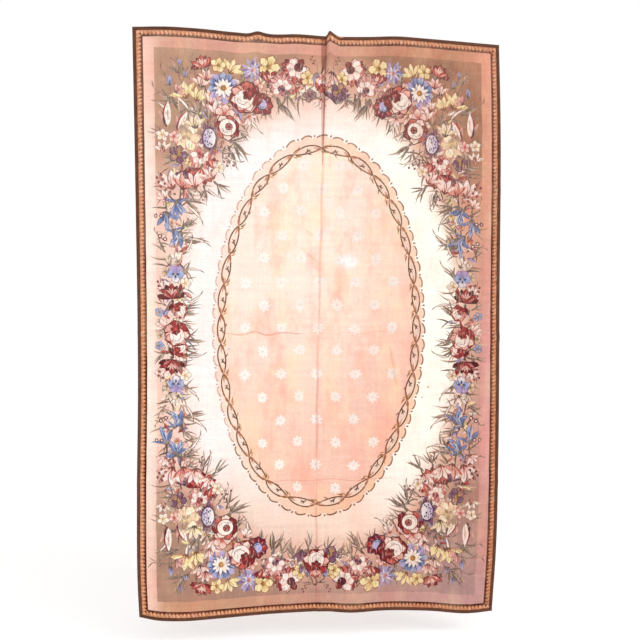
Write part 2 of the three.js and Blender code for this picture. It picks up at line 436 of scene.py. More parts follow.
def crown(c, s, size, rng, fringe=("crimson", "coral"), cup=("white", "cream"), heart="garnet",
          depth="aubergine"):
    """A flower from the side: a slit fringe ahead, a pale lip, and a dark heart behind."""
    c.fan(s, 11, 210, size, 0.3 * size, ((heart, fringe[0]), fringe), edge=heart, rng=rng,
          full=1.8, blunt=0.6)
    c.fan(s, 8, 170, size * 0.84, 0.12 * size, ((fringe[0], "blush"), ("rose", fringe[1])), full=1.6)
    c.fan(s.step(turn=180), 5, 170, 0.94 * size, 0.4 * size, ((heart, fringe[0]), ("rose", cup[1])),
          edge=heart, rng=rng, full=1.7, blunt=0.6)
    c.fan(s.step(-0.24 * size), 5, 210, 0.8 * size, 0.5 * size, ((cup[1], cup[0]), ("blush", cup[0])),
          edge="rose", rng=rng, full=1.7, blunt=0.6)
    dark = s.step(-0.3 * size, 0.06 * size)
    c.disc(dark, 0.32 * size, heart, depth)
    c.fan(dark, 5, 360, 0.36 * size, 0.2 * size, ((heart, fringe[0]), (depth, heart)), full=1.5)


def anemone(c, s, size, rng, fringe=("aubergine", "plum"), middle=("lilac", "white"), dots="navy"):
    """A dark-fringed flower with a pale middle, dotted on one side."""
    c.fan(s, 9, 360, 1.3 * size, 0.5 * size, (("mauve", "taupe"), ("plum", "mauve")), rng=rng, full=1.6)
    c.fan(s, 18, 360, size, 0.3 * size, (fringe, ("navy", fringe[1])), rng=rng, full=1.7)
    c.disc(s, 0.8 * size, *fringe)
    c.disc(s, 0.7 * size, *middle)
    for k in range(11):
        turn = 60 + 24 * k
        c.disc(s.step(turn=turn).step(0.52 * size * (1 - 0.3 * (k % 2))), 0.09 * size, dots)
    c.fan(s.step(-0.1 * size, 0.1 * size), 5, 360, 0.3 * size, 0.14 * size, (("violet", middle[1]),))
    c.disc(s.step(0.06 * size, 0.14 * size), 0.1 * size, dots)


def ruff(c, s, size, rng):
    """Broad dark-red petals round a lilac middle that is dotted with blue on one side."""
    reds = (("aubergine", "crimson"), ("garnet", "crimson"), ("crimson", "madder"))
    c.fan(s, 9, 360, size, 0.56 * size, reds, edge="aubergine", rng=rng, full=1.8, blunt=0.6)
    c.fan(s, 9, 360, 0.84 * size, 0.1 * size, (("garnet", "rose"),), rng=rng, full=1.5)
    c.disc(s, 0.5 * size, "navy", "plum")
    c.disc(s.step(0.06 * size), 0.43 * size, "sky", "lilac")
    for k in range(5):
        c.disc(s.step(turn=100 + 40 * k).step(0.28 * size), 0.07 * size, "navy")


def lily(c, s, size, rng, dyes=("blush", "white"), blot="garnet"):
    """A lily from the side, opening ahead."""
    near = dyes[0]
    for turn, reach, wide, tones, full, bend in (
            (36, 0.96, 0.3, (blot, near), 1.3, 0.3), (-36, 0.96, 0.3, (blot, near), 1.3, -0.3),
            (30, 0.84, 0.24, dyes, 1.3, 0.25), (-33, 0.84, 0.24, dyes, 1.3, -0.25),
            (12, 1.06, 0.34, (blot, blot), 1.2, 0.08), (10, 1, 0.3, dyes, 1.25, 0.08),
            (-10, 0.98, 0.38, (blot, "mauve"), 1.2, -0.06), (-14, 0.96, 0.34, dyes, 1.25, -0.06)):
        c.petal(s.step(turn=turn), reach * size, wide * size, *tones, full=full, bend=bend)
    c.petal(s.step(0.16 * size, 0, -14), 0.56 * size, 0.07 * size, blot, near, full=0.8)
    c.fan(s.step(-0.05 * size), 3, 80, 0.36 * size, 0.13 * size, (("moss", blot),), full=1.1)


def tulip(c, s, size, rng, dyes=("cream", "white"), blot="garnet"):
    """A tall closed flower with a dark edge."""
    c.petal(s, size * 1.04, 0.36 * size, blot, "madder", full=0.85, bend=-0.05)
    c.petal(s.step(0.04 * size, -0.04 * size), size, 0.27 * size, *dyes, full=0.8, bend=-0.05)
    c.petal(s.step(0, 0.03 * size, 16), 0.72 * size, 0.16 * size, blot, "blush", full=1.0, bend=0.1)
    c.petal(s.step(0.05 * size, 0.08 * size, 4), 0.5 * size, 0.08 * size, "aubergine", blot, full=0.9)
    c.petal(s.step(0.2 * size, -0.05 * size, -3), 0.6 * size, 0.05 * size, "blush", "rose", full=1.0)


def bell(c, s, size, rng, dyes=(("deep_blue", "blue"), ("blue", "sky"), ("navy", "blue"))):
    """A blue bellflower from the side: long petals ahead and one that curls back."""
    c.petal(s.step(turn=180), 0.7 * size, 0.1 * size, "moss", "olive", full=0.7, bend=0.25)
    side = rng.choice((-1, 1))
    for turn, reach, wide, bend, k in ((44, 0.7, 0.15, 0.6, 0), (-20, 0.84, 0.2, -0.1, 2),
                                       (6, 1, 0.22, 0.12, 1)):
        start = s.step(turn=turn * side)
        c.petal(start, reach * size * 1.04, 1.3 * wide * size, "navy", "deep_blue", full=1.1,
                bend=bend * side)
        c.petal(start, reach * size, wide * size, *dyes[k], full=1.1, blunt=0.75, bend=bend * side)
    c.petal(s.step(0.2 * size, 0, -4 * side), 0.66 * size, 0.06 * size, "sky", "white", full=1.0)
    c.petal(s.step(0.24 * size, 0, 9 * side), 0.56 * size, 0.07 * size, "navy", "deep_blue", full=1.0,
            bend=0.14 * side)
    c.fan(s.step(-0.06 * size), 3, 70, 0.34 * size, 0.12 * size, (("moss", "sage"),), full=1.0)


def carnation(c, s, size, rng, dyes=("crimson", "coral"), tip="blush"):
    """A ragged flower opening ahead, dark at its root."""
    c.fan(s, 7, 140, size, 0.32 * size, (("garnet", dyes[0]), dyes), edge="garnet", rng=rng, full=1.9,
          blunt=0.6)
    c.fan(s, 6, 104, 0.8 * size, 0.18 * size, (dyes, (dyes[1], tip)), full=1.8)
    c.fan(s.step(0.3 * size), 4, 80, 0.5 * size, 0.09 * size, ((tip, "cream"),), full=1.2)
    c.petal(s.step(turn=180), 0.34 * size, 0.24 * size, "moss", "olive", full=0.8)


def pansy(c, s, size, rng, dyes=(("violet", "lilac"), ("blue", "sky"), ("sky", "white"))):
    """Two petals up, two aside, one down, each with a dark blot."""
    for turn, k, reach in ((62, 0, 1), (118, 0, 1), (4, 1, 0.92), (176, 1, 0.92), (270, 2, 0.9)):
        start = s.step(turn=turn)
        c.petal(start, reach * 1.06 * size, 0.96 * size, "plum", "violet", full=1.7, blunt=0.45)
        c.petal(start, reach * size, 0.82 * size, *dyes[k], full=1.7, blunt=0.45)
    for turn in (4, 176, 270):
        c.petal(s.step(turn=turn), 0.5 * size, 0.26 * size, "navy", "deep_blue", full=1.4)
    c.disc(s, 0.12 * size, "gold", "straw")


def blossom(c, s, size, rng, dyes=("straw", "butter"), heart=("rust", "gold"), count=5, edge=None):
    """A small open flower of round petals."""
    near, far = dyes
    edge = edge or near
    c.fan(s, count, 360, size, 0.72 * size, ((near, far), (heart[1], far)), edge=edge, rng=rng,
          full=1.8, blunt=0.55)
    c.fan(s.step(turn=36), count, 360, 0.62 * size, 0.12 * size, ((heart[0], near),), full=0.9)
    c.disc(s, 0.25 * size, *heart)


def aster(c, s, size, rng):
    """A thin-petalled grey-violet flower."""
    c.fan(s, 15, 360, size, 0.24 * size, (("violet", "lilac"), ("plum", "violet"), ("mauve", "sky")),
          rng=rng, wobble=0.15, full=1.5)
    c.fan(s, 10, 360, 0.6 * size, 0.18 * size, (("lilac", "cream"), ("sky", "lilac")), full=1.4)
    c.disc(s, 0.19 * size, "madder", "blush")


def berries(c, s, size, rng, count=5):
    """A sprig of dark berries on a bent stalk."""
    c.petal(s, size, 3.0, "bark", "olive", full=0.6, blunt=0.4, bend=0.2)
    for k in range(count):
        share = 0.25 + 0.75 * k / (count - 1)
        side = (-1) ** k * size * 0.17
        spot = s.step(size * share, 0.2 * size * share ** 2 + side)
        c.petal(spot, size * 0.24, size * 0.19, "aubergine", "crimson", full=0.9, blunt=0.6)
        c.disc(spot.step(size * 0.08, size * 0.02), size * 0.04, "rose")


def hips(c, s, size, rng):
    """A pair of ring-shaped seed cases."""
    for side in (-1, 1):
        spot = s.step(0.0, side * size * 0.55)
        c.petal(spot.step(turn=-20 * side), size * 0.8, 2.6, "bark", full=0.6, blunt=0.4)
        c.disc(spot, size * 0.42, "garnet", "plum")
        c.disc(spot, size * 0.22, "ivory", "cream")


def bud(c, s, size, rng, dyes=("violet", "sky")):
    """A closed bud in its calyx, pointing ahead."""
    c.petal(s, size * 1.05, 0.46 * size, "olive", dyes[0], full=0.95, blunt=0.8)
    c.petal(s, size, 0.38 * size, *dyes, full=0.95, blunt=0.8)
    c.petal(s, size * 0.9, 0.14 * size, "navy" if dyes[0] == "violet" else "garnet", dyes[0], full=0.9)
    c.fan(s, 2, 60, size * 0.7, 0.14 * size, (("olive", "taupe"),), full=0.9, bend=0.1)
    c.petal(s.step(turn=180), size * 0.8, 3.0, "olive", "taupe", full=0.6, blunt=0.4, bend=0.2)


KINDS = {f.__name__: f for f in (
    spray, curl, tendril, daisy, rose, globe, crown, anemone, ruff, lily, tulip, bell, carnation,
    pansy, blossom, aster, berries, hips, bud)}

# Settings of flowers that come more than once
PLUM = {"dyes": ("plum", "mauve"), "heart": ("aubergine", "gold"), "edge": "aubergine"}
BLUSH = {"dyes": ("rose", "cream"), "heart": ("madder", "coral"), "edge": "madder"}
CREAMY = {"dyes": ("ivory", "white"), "heart": ("rust", "straw"), "edge": "taupe"}
YELLOW = {"dyes": ("straw", "butter"), "heart": ("bark", "gold"), "edge": "rust"}
STRAW_LILY = {"dyes": ("straw", "butter"), "blot": "rust"}
PINK_LILY = {"blot": "madder"}
PLUM_LILY = {"dyes": ("plum", "mauve"), "blot": "aubergine"}
GREY = {"dyes": ("bark", "taupe")}

# One quarter of the wreath, laid bottom first: kind, across, drop, size, heading, and any settings
QUARTER = (
    ("spray", -284, 326, 92, -106),
    ("spray", -240, 300, 70, -76, {"count": 4}),
    ("spray", -186, 268, 104, -62, {"spread": 60}),
    ("spray", -150, 240, 92, -76, {"count": 4, "spread": 50}),
    ("spray", -84, 246, 62, -134, {"count": 4}),
    ("spray", -376, 440, 104, -40, {"count": 6}),
    ("spray", -384, 474, 86, -74),
    ("spray", -350, 396, 64, -28, {"count": 4}),
    ("spray", -440, 616, 84, -44),
    ("spray", -486, 636, 78, -82),
    ("spray", -574, 690, 96, -14, {"count": 6}),
    ("spray", -560, 640, 70, -40, {"count": 4}),
    ("spray", -584, 862, 104, 12, {"count": 6, "spread": 64}),
    ("spray", -572, 800, 70, 34, {"count": 4}),
    ("spray", -586, 1010, 84, 56, {"count": 4, "spread": 40}),
    ("spray", -592, 1152, 92, 24, {"count": 6}),
    ("spray", -590, 1190, 70, -20, {"count": 4}),
    ("spray", -560, 190, 104, 142, {"spread": 76}),
    ("spray", -470, 190, 80, 106, {"spread": 66}),
    ("spray", -330, 190, 84, 76),
    ("spray", -196, 150, 74, 42, {"count": 4}),
    ("spray", -186, 184, 70, 20, {"count": 4}),
    ("spray", -90, 190, 60, 20, {"count": 4}),
    ("spray", -600, 300, 90, 160, {"spread": 90}),
    ("spray", -640, 420, 66, 190, {"spread": 100}),
    ("spray", -500, 350, 90, 128, {"count": 6, "spread": 120}),
    ("spray", -470, 370, 84, 84, {"spread": 90, **GREY}),
    ("spray", -650, 1120, 60, 150, {"count": 4}),
    ("curl", -556, 716, 80, -24),
    ("curl", -552, 850, 78, 8),
    ("curl", -566, 905, 66, 40),
    ("curl", -560, 975, 60, 18),
    ("curl", -470, 640, 62, -58, {"dyes": ("plum", "taupe")}),
    ("curl", -400, 500, 64, -46),
    ("curl", -300, 350, 66, -70),
    ("curl", -545, 330, 84, 118),
    ("curl", -628, 350, 70, 108),
    ("curl", -556, 1110, 66, 14, {"dyes": ("moss", "sage")}),
    ("spray", -650, 900, 62, 130, {"count": 4}),
    ("spray", -636, 640, 62, 120, {"count": 4}),
    ("spray", -600, 520, 74, 200),
    ("tendril", -560, 240, 130, 128),
    ("tendril", -575, 260, 140, 152),
    ("tendril", -590, 290, 120, 172),
    ("tendril", -540, 210, 110, 108),
    ("tendril", -520, 200, 100, 90),
    ("tendril", -640, 700, 70, 110),
    ("tendril", -640, 860, 70, 160),
    ("bud", -586, 156, 32, 80),
    ("bud", -620, 236, 44, 92),
    ("bud", -566, 200, 32, 70),
    ("bud", -536, 168, 36, 60, {"dyes": ("taupe", "sky")}),
    ("lily", -552, 280, 72, 120, STRAW_LILY),
    ("lily", -516, 290, 60, 76, STRAW_LILY),
    ("lily", -496, 234, 58, 88, {"dyes": ("blush", "cream")}),
    ("lily", -458, 302, 54, 70, {"blot": "crimson"}),
    ("lily", -600, 260, 44, 40, {"dyes": ("rose", "blush"), "blot": "plum"}),
    ("carnation", -486, 156, 52, 108),
    ("lily", -474, 206, 50, 96, {"dyes": ("coral", "cream"), "blot": "crimson"}),
    ("blossom", -428, 138, 32, 10, YELLOW),
    ("lily", -384, 166, 62, 58, STRAW_LILY),
    ("aster", -290, 152, 50, 0),
    ("blossom", -228, 132, 44, 0, YELLOW),
    ("carnation", -228, 200, 50, 70, {"dyes": ("crimson", "madder")}),
    ("crown", -122, 146, 58, 232),
    ("blossom", -70, 174, 32, 20, YELLOW),
    ("lily", -78, 204, 34, 300, STRAW_LILY),
    ("bud", -34, 146, 58, 264),
    ("berries", -40, 124, 36, 110, {"count": 4}),
    ("crown", -178, 206, 48, 110, {"fringe": ("rose", "blush"), "heart": "plum"}),
    ("lily", -58, 262, 62, 92, {"dyes": ("ivory", "white"), "blot": "plum"}),
    ("blossom", -58, 246, 30, 30, {"dyes": ("plum", "taupe"), "heart": ("aubergine", "mauve"),
                                   "edge": "moss"}),
    ("lily", -400, 316, 50, 262, {"dyes": ("deep_blue", "mauve"), "blot": "navy"}),
    ("daisy", -408, 228, 66, 5),
    ("ruff", -256, 290, 48, 40),
    ("blossom", -276, 222, 28, 10, BLUSH),
    ("rose", -318, 262, 62, 38, {"outer": ("crimson", "coral")}),
    ("lily", -352, 330, 46, 240, PINK_LILY),
    ("lily", -310, 336, 44, 300, PINK_LILY),
    ("lily", -440, 344, 60, 78, PINK_LILY),
    ("tulip", -634, 398, 100, 92),
    ("tulip", -592, 412, 84, 68, {"blot": "crimson"}),
    ("blossom", -404, 334, 40, 12, BLUSH),
    ("globe", -392, 386, 52, 20),
    ("crown", -548, 448, 74, 300, {"fringe": ("taupe", "cream"), "cup": ("butter", "white"),
                                   "heart": "sand", "depth": "straw"}),
    ("lily", -520, 400, 60, 100, {"dyes": ("straw", "cream"), "blot": "moss"}),
    ("crown", -500, 520, 46, 280, {"fringe": ("rose", "cream"), "heart": "madder"}),
    ("blossom", -652, 430, 26, 12, CREAMY),
    ("blossom", -606, 436, 24, 12, BLUSH),
    ("anemone", -464, 436, 54, 0, {"squeeze": (0.66, 1.02)}),
    ("lily", -650, 500, 48, 100, {"dyes": ("ivory", "cream"), "blot": "plum"}),
    ("bud", -650, 470, 34, 262, {"dyes": ("madder", "blush")}),
    ("blossom", -590, 508, 36, 0, PLUM),
    ("lily", -556, 570, 50, 250, PLUM_LILY),
    ("lily", -612, 648, 80, 112, PINK_LILY),
    ("lily", -572, 650, 64, 78, {"dyes": ("coral", "blush"), "blot": "crimson"}),
    ("carnation", -496, 560, 64, 262, {"tip": "cream"}),
    ("lily", -520, 640, 66, 100, PINK_LILY),
    ("lily", -446, 600, 60, 124, PINK_LILY),
    ("carnation", -450, 560, 44, 60, {"dyes": ("madder", "coral")}),
    ("blossom", -424, 552, 26, 12, CREAMY),
    ("berries", -414, 498, 54, 300),
    ("berries", -500, 640, 44, 280, {"count": 4}),
    ("berries", -672, 570, 62, 278, {"count": 6}),
    ("berries", -660, 646, 50, 320),
    ("lily", -640, 690, 44, 130, PINK_LILY),
    ("bell", -586, 690, 76, 252),
    ("bell", -604, 700, 64, 306),
    ("bell", -640, 740, 80, 262),
    ("bell", -580, 820, 78, 244),
    ("bell", -612, 810, 56, 300),
    ("hips", -672, 758, 20, 90),
    ("hips", -656, 846, 22, 60),
    ("lily", -592, 946, 48, 120, {"dyes": ("ivory", "white"), "blot": "bark"}),
    ("lily", -630, 960, 40, 70, {"dyes": ("sand", "cream"), "blot": "moss"}),
    ("blossom", -640, 985, 24, 0, {"dyes": ("sage", "ivory"), "heart": ("bark", "gold")}),
    ("blossom", -564, 1030, 26, 0, CREAMY),
    ("pansy", -604, 994, 38, 0),
    ("berries", -668, 996, 58, 268, {"count": 6}),
    ("lily", -640, 1060, 44, 120, PINK_LILY),
    ("carnation", -618, 1096, 58, 96, {"dyes": ("garnet", "madder"), "tip": "rose"}),
    ("bud", -588, 1072, 40, 80, {"dyes": ("crimson", "madder")}),
    ("bud", -634, 1146, 42, 60, {"dyes": ("garnet", "crimson")}),
    ("rose", -588, 1140, 34, 140, {"outer": ("madder", "rose")}),
    ("blossom", -672, 1150, 20, 0, {"dyes": ("blue", "sky"), "heart": ("navy", "gold"), "edge": "navy"}),
    ("blossom", -668, 1192, 18, 0, {"dyes": ("sage", "ivory"), "heart": ("navy", "gold")}),
)
# The flowers that face the front, so that nothing of the filling lies on them
HEADS = ("daisy", "rose", "globe", "crown", "anemone", "ruff", "blossom", "aster", "pansy")
# What joins the quarters at the top, the bottom and the two sides, in rows of the same kind
JOINS = (
    ("spray", -20, 250, 50, 236, {"count": 4}),
    ("spray", 96, 250, 60, 300, {"count": 4}),
    ("rose", -8, 196, 36, 250, {"outer": ("coral", "rose")}),
    ("lily", 26, 150, 56, 262, {"dyes": ("rose", "ivory")}),
    ("lily", 50, 276, 74, 88, PLUM_LILY),
    ("blossom", 60, 222, 34, 0, PLUM),
    ("lily", -14, 256, 44, 250, PINK_LILY),
    ("spray", -96, 2200, 84, 112, {"count": 4}),
    ("spray", -34, 2166, 84, 84),
    ("spray", 40, 2176, 76, 66, {"count": 4}),
    ("spray", 100, 2200, 70, 50, {"count": 4}),
    ("spray", 0, 2320, 66, 60, {"spread": 120, **GREY}),
    ("spray", -10, 2320, 66, 140, {"spread": 100, **GREY}),
    ("lily", -66, 2170, 58, 272, PLUM_LILY),
    ("blossom", 58, 2190, 38, 0, PLUM),
    ("bud", -60, 2226, 46, 262, {"dyes": ("plum", "violet")}),
    ("bud", 44, 2242, 46, 264),
    ("rose", -2, 2222, 56, 262, {"outer": ("crimson", "madder"), "heart": "garnet"}),
    ("carnation", -2, 2256, 34, 268, {"dyes": ("coral", "blush")}),
    ("blossom", 76, 2258, 28, 0, YELLOW),
    ("rose", -600, 1238, 52, 100, {"outer": ("madder", "blush")}),
    ("rose", 606, 1244, 52, 80, {"outer": ("madder", "blush")}),
    ("lily", -646, 1216, 48, 140, PINK_LILY),
    ("lily", 646, 1222, 48, 40, PINK_LILY),
    ("spray", -560, 1262, 76, 340),
    ("spray", 566, 1262, 76, 200),
)
# The line that the wreath follows in a quarter: across, drop, half its width
WREATH = (
    (0, 190, 66), (-180, 190, 80), (-330, 220, 104), (-465, 310, 150), (-540, 450, 140),
    (-578, 600, 96), (-610, 760, 58), (-614, 900, 50), (-612, 1050, 52), (-608, 1219, 58),
)


# How many small shapes fill the gaps of a quarter
FILLING = {"leaves": 190, "petals": 130, "blossoms": 20}


def wreath_filling(c, rng, at_quarter):
    """Small leaves and petals that fill the gaps between the flowers of one quarter."""
    rows = np.array(WREATH, float)
    area = np.hypot(*np.diff(rows[:, :2], axis=0).T) * (rows[1:, 2] + rows[:-1, 2])
    run = np.concatenate([[0], np.cumsum(area)])
    look_ahead = 4000
    heads = [(across, drop, 0.8 * reach) for kind, across, drop, reach, *_ in QUARTER if kind in HEADS]

    def somewhere(reach):
        """A spot off the heads, in the share reach of the wreath's width, that points outwards."""
        # It starts on a head, so that it looks for a place at least once
        across, drop, outward = heads[0]
        while any(math.hypot(across - x, drop - y) < r for x, y, r in heads):
            along = rng.uniform(0, run[-1])
            across, drop, half = (np.interp(along, run, rows[:, k]) for k in range(3))
            ahead = [np.interp(along + look_ahead, run, rows[:, k]) for k in (0, 1)]
            heading = math.degrees(math.atan2(-(ahead[1] - drop), ahead[0] - across))
            aside = rng.uniform(-0.55, 1) * half * reach
            lean = math.radians(heading + 90)
            outward = heading - (90 if aside < 0 else -90)
            across, drop = across + aside * math.cos(lean), drop - aside * math.sin(lean)
        return at_quarter(across, drop, outward)

    leaf_dyes = (("moss", "sage"), ("bark", "taupe"), ("bark", "olive"), ("bark", "sand"),
                 ("moss", "sand"), ("olive", "ivory"))
    for _ in range(FILLING["leaves"]):
        spot = somewhere(1.0).step(turn=rng.gauss(0, 50))
        near, far = rng.choice(leaf_dyes)
        length = rng.uniform(40, 82)
        c.petal(spot, length, length * rng.uniform(0.08, 0.13), near, far, full=0.85,
                bend=rng.choice((-1, 1)) * rng.uniform(0.15, 0.75))
    petal_dyes = (("rose", "cream"), ("ivory", "white"), ("blush", "white"), ("madder", "blush"),
                  ("crimson", "coral"), ("straw", "butter"), ("violet", "sky"), ("plum", "rose"))
    for _ in range(FILLING["petals"]):
        spot = somewhere(0.74).step(turn=rng.gauss(0, 60))
        near, far = rng.choice(petal_dyes)
        length, bend = rng.uniform(24, 46), rng.uniform(-0.5, 0.5)
        c.petal(spot, length * 1.05, length * 0.36, rng.choice(("garnet", "bark", "plum", "moss")), near,
                full=1.2, bend=bend)
        c.petal(spot.step(0, 1.5), length, length * 0.24, near, far, full=1.3, bend=bend)
    for _ in range(FILLING["blossoms"]):
        dyes = rng.choice(petal_dyes)
        blossom(c, somewhere(0.8), rng.uniform(15, 23), rng, dyes, ("bark", "gold"), 5, "mauve")


def wreath(c, size, seed):
    """The whole wreath: four mirrored quarters and what joins them."""
    for number, (over, down) in enumerate(((1, 1), (-1, 1), (1, -1), (-1, -1))):
        def at_quarter(across, drop, heading):
            return Spot(across * over, drop if down > 0 else size[1] - drop, heading, (over, down))

        wreath_filling(c, random.Random(seed + number), at_quarter)
        rng = random.Random(seed + 10 + number)
        for kind, across, drop, reach, heading, *more in QUARTER:
            draw(c, kind, at_quarter(across, drop, heading), reach, rng, *more)
    rng = random.Random(seed + 20)
    for kind, across, drop, reach, heading, *more in JOINS:
        draw(c, kind, Spot(across, drop, heading), reach, rng, *more)


def draw(c, kind, spot, reach, rng, settings=()):
    """Draw one motif, squeezed if its row says so."""
    settings = dict(settings)
    squeeze = settings.pop("squeeze", None)
    if squeeze:
        spot = spot.squeezed(*squeeze)
    KINDS[kind](c, spot, reach, rng, **settings)


# The oval in the middle of the cloth
OVAL = {"across": -3, "drop": 1216, "vine": (413, 754), "scallops": (435, 796)}
LINKS, SCALLOPS = 30, 60


def oval_points(half_axes, count):
    """Points on an ellipse at even steps of its length, with headings along it."""
    a, b = half_axes
    fine = np.linspace(0, 2 * np.pi, 2881)
    x, y = a * np.sin(fine), b * np.cos(fine)
    length = np.concatenate([[0], np.cumsum(np.hypot(np.diff(x), np.diff(y)))])
    at = np.interp(np.arange(count) / count * length[-1], length, fine)
    heading = np.degrees(np.arctan2(-b * np.sin(at), a * np.cos(at)))
    return [(OVAL["across"] + a * math.sin(t), OVAL["drop"] - b * math.cos(t), h)
            for t, h in zip(at, heading)]


def strip(c, line, width, near, clear=0):
    """A narrow band of one width along a line of (x, y) points."""
    line = np.array(line)
    ahead = np.gradient(line, axis=0)
    ahead /= np.linalg.norm(ahead, axis=1, keepdims=True)
    aside = np.stack([-ahead[:, 1], ahead[:, 0]], 1) * width / 2
    outline = [tuple(p) for p in line + aside] + [tuple(p) for p in (line - aside)[::-1]]
    c.lay(outline, near, clear=clear)


def scallop_band(c):
    """The peach band round the oval, its rim worked in separate scallops with a dot between."""
    a, b = OVAL["scallops"]
    pitch = math.pi * (3 * (a + b) - math.sqrt((3 * a + b) * (a + 3 * b))) / SCALLOPS
    spots = [Spot(*spot) for spot in oval_points(OVAL["scallops"], SCALLOPS)]
    bulge, half = 13, pitch * 0.36
    outline = []
    for spot in spots:
        for t in (-1, -0.8, -0.4, 0, 0.4, 0.8, 1):
            outline.append(spot.at(half * t, bulge * (1 - t * t) ** 0.5))
    c.lay(outline, "ivory", ground=PEACH, clear=2)
    rng = random.Random(8)
    for spot in spots:
        # Scallops paler on the left, partly painted light from the left, and darker at the foot.
        dye = "stroke" if spot.y < -1700 else "faded" if spot.x < -150 else "scallop"
        start, lean = rng.uniform(-1.5, -1.2), rng.uniform(-2, 5)
        arc = [spot.at(half * math.sin(t), (bulge + lean * t) * math.cos(t))
               for t in np.linspace(start, rng.uniform(1.0, 1.35), 8)]
        strip(c, arc, rng.uniform(5.0, 6.6), dye, clear=2)
        dot = spot.step(pitch / 2, rng.uniform(0, 4), 90 + rng.uniform(-30, 30))
        c.petal(dot, rng.uniform(10, 15), 8, dye, full=1.0, blunt=0.5)


def vine(c):
    """Two stems round the oval that cross at every link, with thorns inside and hooks at the knots."""
    per = 8
    spots = oval_points(OVAL["vine"], LINKS * per)
    rng = random.Random(6)
    sides = []
    for side in (1, -1):
        line = []
        for link in range(LINKS):
            reach, lean = rng.uniform(14, 18), rng.uniform(0.75, 1.3)
            for k in range(per):
                swell = reach * math.sin(math.pi * (k / per) ** lean) ** 0.75 * side
                line.append(Spot(*spots[link * per + k]).at(0, swell))
        sides.append(line + line[:1])
    for link in range(LINKS):
        first, last = link * per, link * per + per + 1
        c.lay(sides[0][first:last] + sides[1][first:last][::-1][1:-1], "#fbdcc8", "#fdeada",
              sides[0][first], sides[0][last - 1], EVEN)
    for link in range(LINKS):
        for line in sides:
            part = line[link * per:link * per + per + 1]
            strip(c, part, 5.6, "vine", clear=2)
    for k in range(LINKS):
        knot, middle = Spot(*spots[k * per]), Spot(*spots[k * per + per // 2])
        for turn, reach, bend in ((12, 46, 0.22), (-168, 42, 0.22), (38, 34, -0.3), (-142, 30, -0.3)):
            c.petal(knot.step(turn=turn), reach, 6.5, "vine", "vine_light", full=0.7, bend=bend)
        for turn in (0, 180):
            c.petal(knot.step(-6, 0, turn + rng.uniform(-9, 9)), 34, 7, "knot", "#eab294", full=0.9)
        hook = knot.step(rng.uniform(-4, 8), -8, -58)
        c.petal(hook, 27, 9, "vine", "gold", full=0.8, bend=rng.uniform(0.4, 0.7))
        c.petal(hook.step(-8, -7, -14), 22, 7, "gold", "vine_light", full=1.0, bend=0.4)
        twig = middle.step(rng.uniform(-26, -12), -13, rng.uniform(16, 30))
        c.petal(twig, 34, 5.4, "vine", "vine", full=0.6, blunt=0.5, bend=0.12)
        c.petal(twig.step(12, 1, 44), 15, 5.4, "vine", full=0.7, blunt=0.5)
        c.petal(twig.step(18, 2, -36), 14, 5.4, "vine", full=0.7, blunt=0.5)
        if rng.random() < 0.6:
            thorn = middle.step(rng.uniform(-6, 14), -15, rng.uniform(-60, -30))
            c.petal(thorn, 22, 6.5, "vine", "vine_light", full=0.7, bend=0.3)


STARS = {"pitch": 156, "row": 97.3, "size": 26, "petals": 8, "clear": 46}


def stars(c):
    """White daisies on the oval's ground, in rows set half a pitch apart."""
    a, b = OVAL["vine"]
    rows = int(b / STARS["row"]) + 1
    rng = random.Random(5)
    for row in range(-rows, rows + 1):
        for column in range(-3, 4):
            across = OVAL["across"] + (column + 0.5 * (row % 2)) * STARS["pitch"]
            drop = OVAL["drop"] + row * STARS["row"]
            inside = math.hypot((across - OVAL["across"]) / (a - STARS["clear"]),
                                (drop - OVAL["drop"]) / (b - STARS["clear"]))
            if inside > 1:
                continue
            tip = "#fffbf4"
            spot = Spot(across + rng.uniform(-3, 3), drop + rng.uniform(-3, 3), rng.uniform(-6, 6))
            c.stars.append(spot)
            if drop < OVAL["drop"]:
                c.disc(spot, 0.7 * STARS["size"], tip, ground=EVEN)
            for k in range(STARS["petals"]):
                turn = 360 * k / STARS["petals"]
                c.petal(spot.step(turn=turn), STARS["size"] * rng.uniform(0.8, 1.08), 11.5, tip,
                        full=1.3, blunt=0.7, start=2, ground=EVEN)
            c.disc(spot, 4.5, "ivory", "cream", EVEN)


# How closely the two sides of the sheet are drawn, in mm. finer and least are the cartoon's, edge
# is the spacing of the points on the cut edge, pitch that of the points under the wreath on the
# back, and wide the area in mm2 above which a triangle of the back shows its ground alone.
FRONT = {"finer": 0.6, "least": 7.0, "edge": 12.0, "grid": 43, "along": 15}
BACK = {"pitch": 16.8, "grid": 64, "along": 34, "wide": 260}
# Columns of points down the pinch and its crease, and rows beside each cross fold
PINCH_COLUMNS = (-14, -8, -4, 0, 3, 6, 9, 12, 15, 20, 28, 38, 50, 62)
FOLD_ROWS = (-34, -18, -7, 0, 7, 18, 34)
# The straight borders, from the cut edge inwards
BORDER = {"copper": 5, "rope": 10, "line": 30.5, "plain": 38, "ground": 80, "twist": 16}
COPPER, COPPER_EDGE, DARK_LINE = "#c98258", "#8a4f2e", "#4e1a06"


def frame_outline(size, inset, rng, wobble=0.8, step=60):
    """A rectangle inside the edge, drawn with a weaver's small unevenness."""
    half, drop = size[0] / 2 - inset, size[1] - inset
    corners = ((-half, -drop), (half, -drop), (half, -inset), (-half, -inset))
    outline = []
    for (x0, y0), (x1, y1) in zip(corners, corners[1:] + corners[:1]):
        n = max(2, round(math.hypot(x1 - x0, y1 - y0) / step))
        for k in range(n):
            jog = [rng.uniform(-wobble, wobble) for _ in range(2)] if k else (0, 0)
            outline.append((x0 + (x1 - x0) * k / n + jog[0], y0 + (y1 - y0) * k / n + jog[1]))
    return outline


